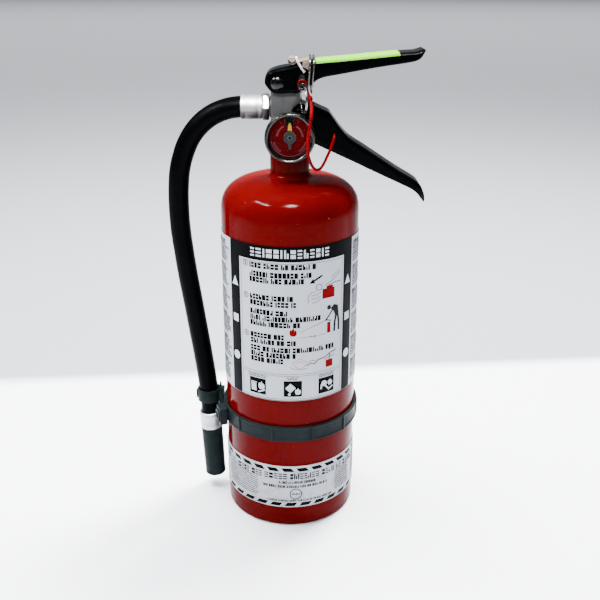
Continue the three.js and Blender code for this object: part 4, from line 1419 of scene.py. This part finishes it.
def gauge_needle(height):
    """A yellow-tipped pointer with a grey tail, on a turned hub."""
    tip = [(-1.5, 5.4), (1.5, 5.4), (1.15, 8.6), (0.35, 10.7), (-0.35, 10.7), (-1.15, 8.6)]
    tail = [(-0.9, -8.6), (0.9, -8.6), (1.5, -3), (1.5, 5.4), (-1.5, 5.4), (-1.5, -3)]
    top = height + 0.5
    pointer = flat_shapes([tip], height, top)
    gauge_part("needle_tip", pointer, "pointer", ["gauge_needle"], "needle")
    gauge_part("needle_tail", flat_shapes([tail], height, top), "hub", (), "needle")
    hub = [(0, height + 0.3), (4.6, height + 0.3), (4.6, height + 0.7), (1.5, height + 0.8),
           (1.3, height + 1.5), (0.6, height + 1.8), (0, height + 1.8)]
    gauge_part("needle_hub", lathe(hub, 48), "hub", (), "needle")
    cap = [(0, height + 1.8), (1.1, height + 1.8), (1.1, height + 2.1), (0, height + 2.3)]
    gauge_part("needle_cap", lathe(cap, 32), "plastic", (), "needle")


# ---- Hose band ------------------------------------------------------------------------------


def towards(azimuth, radius):
    """The (x, y) at an azimuth in degrees, counted from the front towards the right."""
    angle = math.radians(azimuth)
    return radius * math.sin(angle), -radius * math.cos(angle)


def band():
    """A moulded strap with raised rims, and a thin upright rib at each step round it."""
    low, high = BAND_Z[0] + 0.4, BAND_Z[1] - 0.4
    inner, outer = BAND_INNER_RADIUS, BAND_INNER_RADIUS + BAND_THICK
    profile = [(inner, low), (outer, low), (outer, low + 1.1), (outer - 0.6, low + 1.7),
               (outer - 0.6, high - 1.7), (outer, high - 1.1), (outer, high), (inner, high)]
    obj = raw_object("band_strap", lathe(filleted(profile, 0.25, 2), 176))
    for i in range(BAND_RIBS):
        azimuth = BAND_TURN + i * 360 / BAND_RIBS
        x, y = towards(azimuth, outer - 0.3)
        turn = Matrix.Translation((x, y, 0)) @ Matrix.Rotation(math.radians(azimuth), 4, "Z")
        rib = filleted([(-0.9, -0.6), (0.9, -0.6), (0.9, 0.8), (-0.9, 0.8)], 0.5, 3)
        combine(obj, [moved(flat_shapes([rib], *BAND_Z), turn)], "UNION")
    return finished(obj, "cylinder", "plastic", ["retaining_band"])


# ---- Labels ---------------------------------------------------------------------------------


class Print:
    """Flat printed shapes, in millimetres round the cylinder and up it, gathered ink by ink."""

    def __init__(self, seed):
        self.inks = {}
        self.random = random.Random(seed)

    def shape(self, ink_name, outline):
        """Any closed outline."""
        self.inks.setdefault(ink_name, []).append(outline)

    def box(self, ink_name, left, low, right, high, slant=0.0):
        """A box whose top may lean sideways."""
        self.shape(ink_name, [(left, low), (right, low), (right + slant, high), (left + slant, high)])

    def frame(self, ink_name, left, low, right, high, width):
        """The four bars round a box."""
        self.box(ink_name, left, low, right, low + width)
        self.box(ink_name, left, high - width, right, high)
        self.box(ink_name, left, low + width, left + width, high - width)
        self.box(ink_name, right - width, low + width, right, high - width)

    def line(self, ink_name, points, width):
        """A bar along each span of a path, run on by half its width."""
        for (u0, v0), (u1, v1) in zip(points, points[1:]):
            length = math.hypot(u1 - u0, v1 - v0)
            du, dv = (u1 - u0) / length * width / 2, (v1 - v0) / length * width / 2
            self.shape(ink_name, [(u0 + dv - du, v0 - du - dv), (u1 + dv + du, v1 - du + dv),
                                  (u1 - dv + du, v1 + du + dv), (u0 - dv - du, v0 + du - dv)])

    def disc(self, ink_name, u, v, radius, steps=20):
        """A filled round spot."""
        self.shape(ink_name, arc((u, v), (radius, radius), 0, 360 - 360 / steps, steps - 1))

    def ring(self, ink_name, u, v, radius, width, steps=24):
        """A round outline."""
        for i in range(steps):
            start, end = 360 * i / steps, 360 * (i + 1) / steps
            outer = arc((u, v), (radius, radius), start, end, 1)
            inner = arc((u, v), (radius - width, radius - width), end, start, 1)
            self.shape(ink_name, outer + inner)

    def glyph(self, ink_name, u, middle, height, slant):
        """One abstract mark: a bar, a split bar, a stepped pair or a chequered pair."""
        low, high = middle - height / 2, middle + height / 2
        bar = (0.2 if height > 4.5 else 0.26) * height
        kind = self.random.choice((0, 1, 1, 2, 3, 4, 4, 4))
        if kind == 0:
            self.box(ink_name, u, low, u + bar, high, slant)
            return bar
        width = self.random.choice((0.5, 0.58, 0.66)) * height
        if kind == 1:
            self.box(ink_name, u, low, u + width, middle - 0.07 * height, slant / 2)
            self.box(ink_name, u, middle + 0.07 * height, u + width, high, slant / 2)
        elif kind == 2:
            self.box(ink_name, u, low, u + bar, high, slant)
            self.box(ink_name, u + width - bar, low, u + width, middle + 0.1 * height, slant / 2)
        elif kind == 3:
            self.box(ink_name, u, low, u + bar, middle, slant / 2)
            self.box(ink_name, u + width - bar, low, u + width, high, slant)
        elif height > 4.5:
            for level in (low, middle - bar / 2, high - bar):
                self.box(ink_name, u, level, u + width, level + bar)
        else:
            self.box(ink_name, u, low, u + width, high, slant)
        return width

    def words(self, ink_name, left, right, middle, height, slant=0.0):
        """A line of abstract marks, grouped like words."""
        u = left
        word = self.random.randint(3, 7)
        while u < right - 0.3 * height:
            u += self.glyph(ink_name, u, middle, height, slant) + 0.12 * height
            word -= 1
            if word == 0:
                word = self.random.randint(2, 8)
                u += 0.36 * height

    def press(self, name, turn, lifts):
        """Wraps each ink's shapes round the cylinder as a thin skin."""
        for ink_name, shapes in self.inks.items():
            lift = lifts[ink_name]
            bm = bmesh.new()
            for outline in shapes:
                bm.faces.new([bm.verts.new((u, v, 0)) for u, v in outline])
            us = [vert.co.x for vert in bm.verts]
            cut = min(us) + PRINT_STEP
            while cut < max(us):
                parts = bm.verts[:] + bm.edges[:] + bm.faces[:]
                bmesh.ops.bisect_plane(bm, geom=parts, plane_co=(cut, 0, 0), plane_no=(1, 0, 0))
                cut += PRINT_STEP
            bmesh.ops.recalc_face_normals(bm, faces=bm.faces)
            for face in bm.faces:
                if face.normal.z < 0:
                    face.normal_flip()
            flat = [(vert.co.x, vert.co.y) for vert in bm.verts]
            for vert, (u, v) in zip(bm.verts, flat):
                azimuth = math.degrees(u / LABEL_RADIUS) + turn
                vert.co = place((*towards(azimuth, LABEL_RADIUS + lift), v))
            mesh = bpy.data.meshes.new(f"{name}_{ink_name}")
            bm.to_mesh(mesh)
            bm.free()
            obj = thickened(linked(f"{name}_{ink_name}", mesh), 0.03, 1)
            finished(obj, "cylinder", ink_name)


LIFTS = {"ink_black": 0.0, "ink_grey": 0.0, "ink_red": 0.0, "ink_pink": 0.0, "ink_white": 0.05}
DEGREE = math.radians(1) * LABEL_RADIUS  # one degree round the cylinder, in millimetres


def instruction_print():
    """The black frame, the white panel's steps and pictures, and the side columns."""
    sheet = Print(7)
    panel, column = 46.4 * DEGREE, 58 * DEGREE
    low, high = 118.4, 245.5
    sheet.box("ink_black", -column, 233.8, column, high)
    for side in (-1, 1):
        left, right = sorted((side * panel, side * column))
        sheet.box("ink_black", left, low, right, 233.8)
    sheet.box("ink_black", -panel, low, panel, low + 0.5)
    sheet.frame("ink_black", -panel + 1.6, 141.6, panel - 1.6, 232.4, 0.3)
    sheet.frame("ink_black", -panel + 1.6, 119.9, panel - 1.6, 140.2, 0.3)
    header_marks(sheet)
    class_marks(sheet)
    step_rows(sheet)
    pin_picture(sheet)
    aim_picture(sheet)
    sweep_picture(sheet)
    hazard_squares(sheet)
    side_columns(sheet)
    sheet.press("instruction", LABEL_TURN, LIFTS)


def header_marks(sheet):
    """A row of pale marks along the black header, all of one height."""
    u = -33
    while u < 28:
        u += sheet.glyph("ink_white", u, 239.9, 6.6, 0) + 1.4


def class_marks(sheet):
    """A triangle, a square and a disc down each black column."""
    for side in (-1, 1):
        u = side * 52.2 * DEGREE
        sheet.shape("ink_white", [(u - 3.6, 209.4), (u + 3.6, 209.4), (u, 216.8)])
        sheet.box("ink_white", u - 3.1, 179, u + 3.1, 185.4)
        sheet.disc("ink_white", u, 150.2, 3.7)


def step_rows(sheet):
    """Three numbered-looking steps: a ringed dot, and rows of blocks beside it."""
    for v in (228.9, 203.4, 171.8):
        sheet.ring("ink_black", -38.0, v + 1, 2.4, 0.5)
        sheet.box("ink_black", -38.5, v - 0.2, -37.5, v + 2.2)
    rows = (
        (19.5, 228.6),
        (14.4, 222.0),
        (8.2, 217.3),
        (0.4, 203.5),
        (3.7, 198.6),
        (-1.2, 191.6),
        (25.2, 186.7),
        (5.7, 182.0),
        (-5.4, 171.9),
        (2.6, 167.0),
        (34.2, 161.0),
        (3.0, 156.2),
        (-6.6, 151.5),
    )
    for right, v in rows:
        sheet.words("ink_black", -34.1, right, v + 1, 4.2)


def pin_picture(sheet):
    """A hand pulling a ring, with a bold arrow and the top of a red cylinder."""
    sheet.box("ink_red", 23.4, 202.6, 34.6, 210.6)
    sheet.box("ink_red", 27.0, 210.6, 33.0, 212.6)
    sheet.line("ink_black", [(14.4, 217.0), (22.6, 221.4)], 1.5)
    sheet.shape("ink_black", [(12.8, 216.2), (17.4, 216.2), (15.6, 220.0)])
    sheet.line("ink_grey", [(26, 213.4), (33, 216.6), (40.6, 222.2)], 0.5)
    sheet.line("ink_grey", [(29, 213), (36, 214.4), (41, 214.0)], 0.6)
    sheet.line("ink_grey", [(31, 218.6), (36.4, 221.6), (39.4, 225.0)], 0.35)
    sheet.ring("ink_black", 20.6, 212.6, 2.7, 0.5)
    sheet.line("ink_grey", [(12.4, 201.0), (11.6, 205.2), (14.2, 208.8), (18.4, 209.8)], 0.4)
    sheet.line("ink_grey", [(14.4, 206.2), (18.8, 206.8), (22.4, 208.4)], 0.4)
    sheet.line("ink_grey", [(14.6, 203.8), (18.6, 203.8), (22.0, 205.2)], 0.4)
    sheet.line("ink_grey", [(15.2, 200.4), (18.6, 200.8), (21.6, 202.6)], 0.4)


def aim_picture(sheet):
    """A bent dark figure that aims a red cylinder at a small flame."""
    sheet.disc("ink_grey", 29.6, 194.6, 1.9)
    back = [(31.0, 193.4), (34.4, 196.2), (38.4, 194.6), (39.4, 188.0), (35.8, 186.8), (34.0, 190.6)]
    sheet.shape("ink_grey", back)
    sheet.line("ink_grey", [(33.0, 192.0), (29.6, 187.6), (26.8, 184.6)], 1.2)
    sheet.line("ink_grey", [(37.0, 188.6), (35.4, 181.4), (35.0, 174.4)], 2.0)
    sheet.line("ink_grey", [(38.2, 188.4), (39.4, 181.6), (39.6, 174.4)], 2.0)
    sheet.box("ink_red", 28.0, 173.6, 31.2, 182.4)
    sheet.line("ink_grey", [(28.0, 184.4), (31.6, 183.4)], 0.9)
    sheet.line("ink_pink", [(6.0, 177.2), (16.0, 181.2)], 0.55)
    sheet.line("ink_grey", [(16.0, 181.2), (27.0, 184.6)], 0.4)
    sheet.line("ink_grey", [(4.0, 172.6), (12.0, 172.9)], 0.3)
    sheet.words("ink_grey", 13.0, 19.0, 173.0, 1.0)
    sheet.line("ink_grey", [(20.0, 173.2), (26.6, 173.4)], 0.3)
    flame(sheet, "ink_red", 0.4, 174.0, 1.0)


def flame(sheet, ink_name, u, v, size):
    """A small flame with three tongues."""
    outline = [(-2.6, 1.4), (-1.6, 0), (1.6, 0), (2.9, 1.8), (2.6, 4.4), (1.6, 5.4)]
    outline += [(1.2, 4.2), (0.2, 7.2), (-1.1, 5.0), (-2.1, 5.8), (-2.9, 3.4)]
    sheet.shape(ink_name, [(u + x * size, v + y * size) for x, y in outline])


def sweep_picture(sheet):
    """A hose swept over a pale cloud, with a small red cylinder."""
    cloud = []
    for i in range(37):
        a = 2 * math.pi * i / 36
        across = (5.2 + 0.7 * math.sin(5 * a)) * math.cos(a)
        up = (3.6 + 0.6 * math.cos(4 * a)) * math.sin(a)
        cloud.append((5.8 + across, 150.6 + up))
    sheet.line("ink_pink", cloud, 0.5)
    sheet.line("ink_pink", [(2.6, 151.2), (6.0, 152.6), (9.0, 150.6)], 0.45)
    sheet.line("ink_grey", [(-1.8, 147.8), (1.4, 146.0), (6.0, 145.4), (11.2, 146.4)], 0.35)
    sheet.line("ink_grey", [(11.4, 148.6), (14.6, 150.4), (17.8, 149.6), (20.6, 152.4)], 0.7)
    sheet.line("ink_grey", [(12.4, 151.6), (15.6, 152.6), (19.0, 151.4)], 0.4)
    sheet.line("ink_grey", [(20.6, 152.4), (26.4, 153.6), (31.4, 156.2), (36.8, 157.4)], 0.8)
    sheet.line("ink_grey", [(26.0, 151.4), (30.6, 153.2), (35.4, 153.4)], 0.5)
    sheet.box("ink_red", 27.2, 144.3, 33.8, 150.6)
    sheet.line("ink_grey", [(30.4, 150.6), (30.8, 155.4)], 0.7)
    sheet.disc("ink_red", 31.0, 159.6, 0.7)


def hazard_squares(sheet):
    """Three captioned dark squares: a bin and flame, a spilt can, and a plug."""
    for u, width in ((-28.6, 17.0), (0.2, 9.6), (28.2, 15.0)):
        sheet.words("ink_grey", u - width / 2, u + width / 2, 138.7, 0.9)
        sheet.words("ink_grey", u - width / 2 + 1, u + width / 2 - 1, 137.2, 0.9)
        sheet.box("ink_black", u - 7.2, 122.2, u + 7.2, 135.8)
    sheet.box("ink_white", -34.0, 124.4, -29.6, 131.0, -0.4)
    sheet.box("ink_white", -34.6, 131.4, -29.4, 132.2)
    sheet.line("ink_white", [(-27.6, 124.0), (-22.8, 126.2)], 1.2)
    flame(sheet, "ink_white", -25.2, 126.6, 0.95)
    sheet.shape("ink_white", [(-5.8, 129.6), (-1.6, 133.8), (2.4, 129.8), (-1.8, 125.4)])
    flame(sheet, "ink_white", 4.2, 124.0, 0.8)
    sheet.disc("ink_white", -2.6, 124.2, 1.1)
    sheet.disc("ink_white", 26.0, 130.6, 2.5)
    sheet.box("ink_white", 22.6, 126.0, 24.0, 130.2, 0.5)
    sheet.line("ink_white", [(27.4, 128.0), (30.4, 124.6), (33.6, 126.4)], 1.3)
    flame(sheet, "ink_white", 31.6, 128.2, 0.75)


def side_columns(sheet):
    """Small grey print on the white parts that run round to the back."""
    for side in (-1, 1):
        for first, last in ((60.5, 84), (88, 114), (118, 146)):
            v = 240.6
            block = 0
            while v > 123:
                left, right = sorted((side * first * DEGREE, side * last * DEGREE))
                if block % 7 == 0:
                    sheet.words("ink_black", left, left + 0.7 * (right - left), v, 2.6)
                else:
                    end = right - sheet.random.uniform(0, 7)
                    sheet.words("ink_black", left, end, v, 1.8)
                block += 1
                v -= 5.2 if block % 7 == 0 else 2.5


def lower_print():
    """Slanted dashes along both edges, a bold row, thin rows, a ring and small side blocks."""
    sheet = Print(19)
    pitch = 12.9 * DEGREE
    for i in range(-12, 13):
        u = i * pitch - 1
        for v in (53.4, 20.2):
            sheet.box("ink_black", u - 5.0, v - 0.5, u + 3.4, v + 2.8, 2.6 if v < 40 else -2.6)
    sheet.words("ink_grey", -122, 122, 48.4, 5.2)
    sheet.words("ink_grey", -10.4, 21.0, 42.6, 2.4)
    sheet.words("ink_grey", -24.0, 32.0, 38.6, 2.4)
    sheet.ring("ink_black", 3.6, 31.4, 5.2, 0.8)
    sheet.words("ink_grey", 0.2, 7.0, 31.4, 1.8)
    sheet.words("ink_grey", -21.0, 36.0, 25.0, 1.9)
    for left, right in ((-66, -28), (40, 60), (66, 104), (-112, -74)):
        v = 44.6
        while v > 26:
            sheet.words("ink_grey", left, right - sheet.random.uniform(0, 4), v, 0.95)
            v -= 1.95
    sheet.press("lower", LABEL_TURN - 1, LIFTS)


# ---- Assembly -------------------------------------------------------------------------------


def paint_inner_nodes():
    """CAD nodes that keep their own shape take a full finish."""
    finishes = {
        "collar_seal": "rubber",
        "siphon_tube": "white_plastic",
        "siphon_adaptor": "brass",
        "valve_stem": "brass",
        "seat_seal": "rubber",
        "stem_seal": "rubber",
        "stem_spring": "steel",
        "bourdon_tube": "brass",
        "gauge_stem": "brass",
        "instruction_label": "film",
        "lower_label": "film",
    }
    for node, finish in finishes.items():
        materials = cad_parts[node].data.materials
        materials.clear()
        materials.append(FINISHES[finish])


FINISHES = make_finishes()
make_camera()
make_hose()
make_floor()
make_light()
cylinder()
neck()
neck_weld()
valve()
rivet("lever_rivet", PIVOT, 3, 5.0, "rivet_steel")
rivet("handle_rivet_upper", HANDLE_RIVETS[0], 1.9, 4.2, "black")
rivet("handle_rivet_lower", HANDLE_RIVETS[1], 1.9, 3.6, "black")
hose_fitting()
lever()
tape()
handle()
pull_pin()
pull_ring()
tamper_seal()
tag_ring()
tag_stub()
tag_flap()
tag_wire()
gauge()
band()
refined("band_buckle", "cylinder", "plastic", 0.6)
refined("hose_clip", "cylinder", "plastic", 0.4)
instruction_print()
lower_print()
paint_inner_nodes()
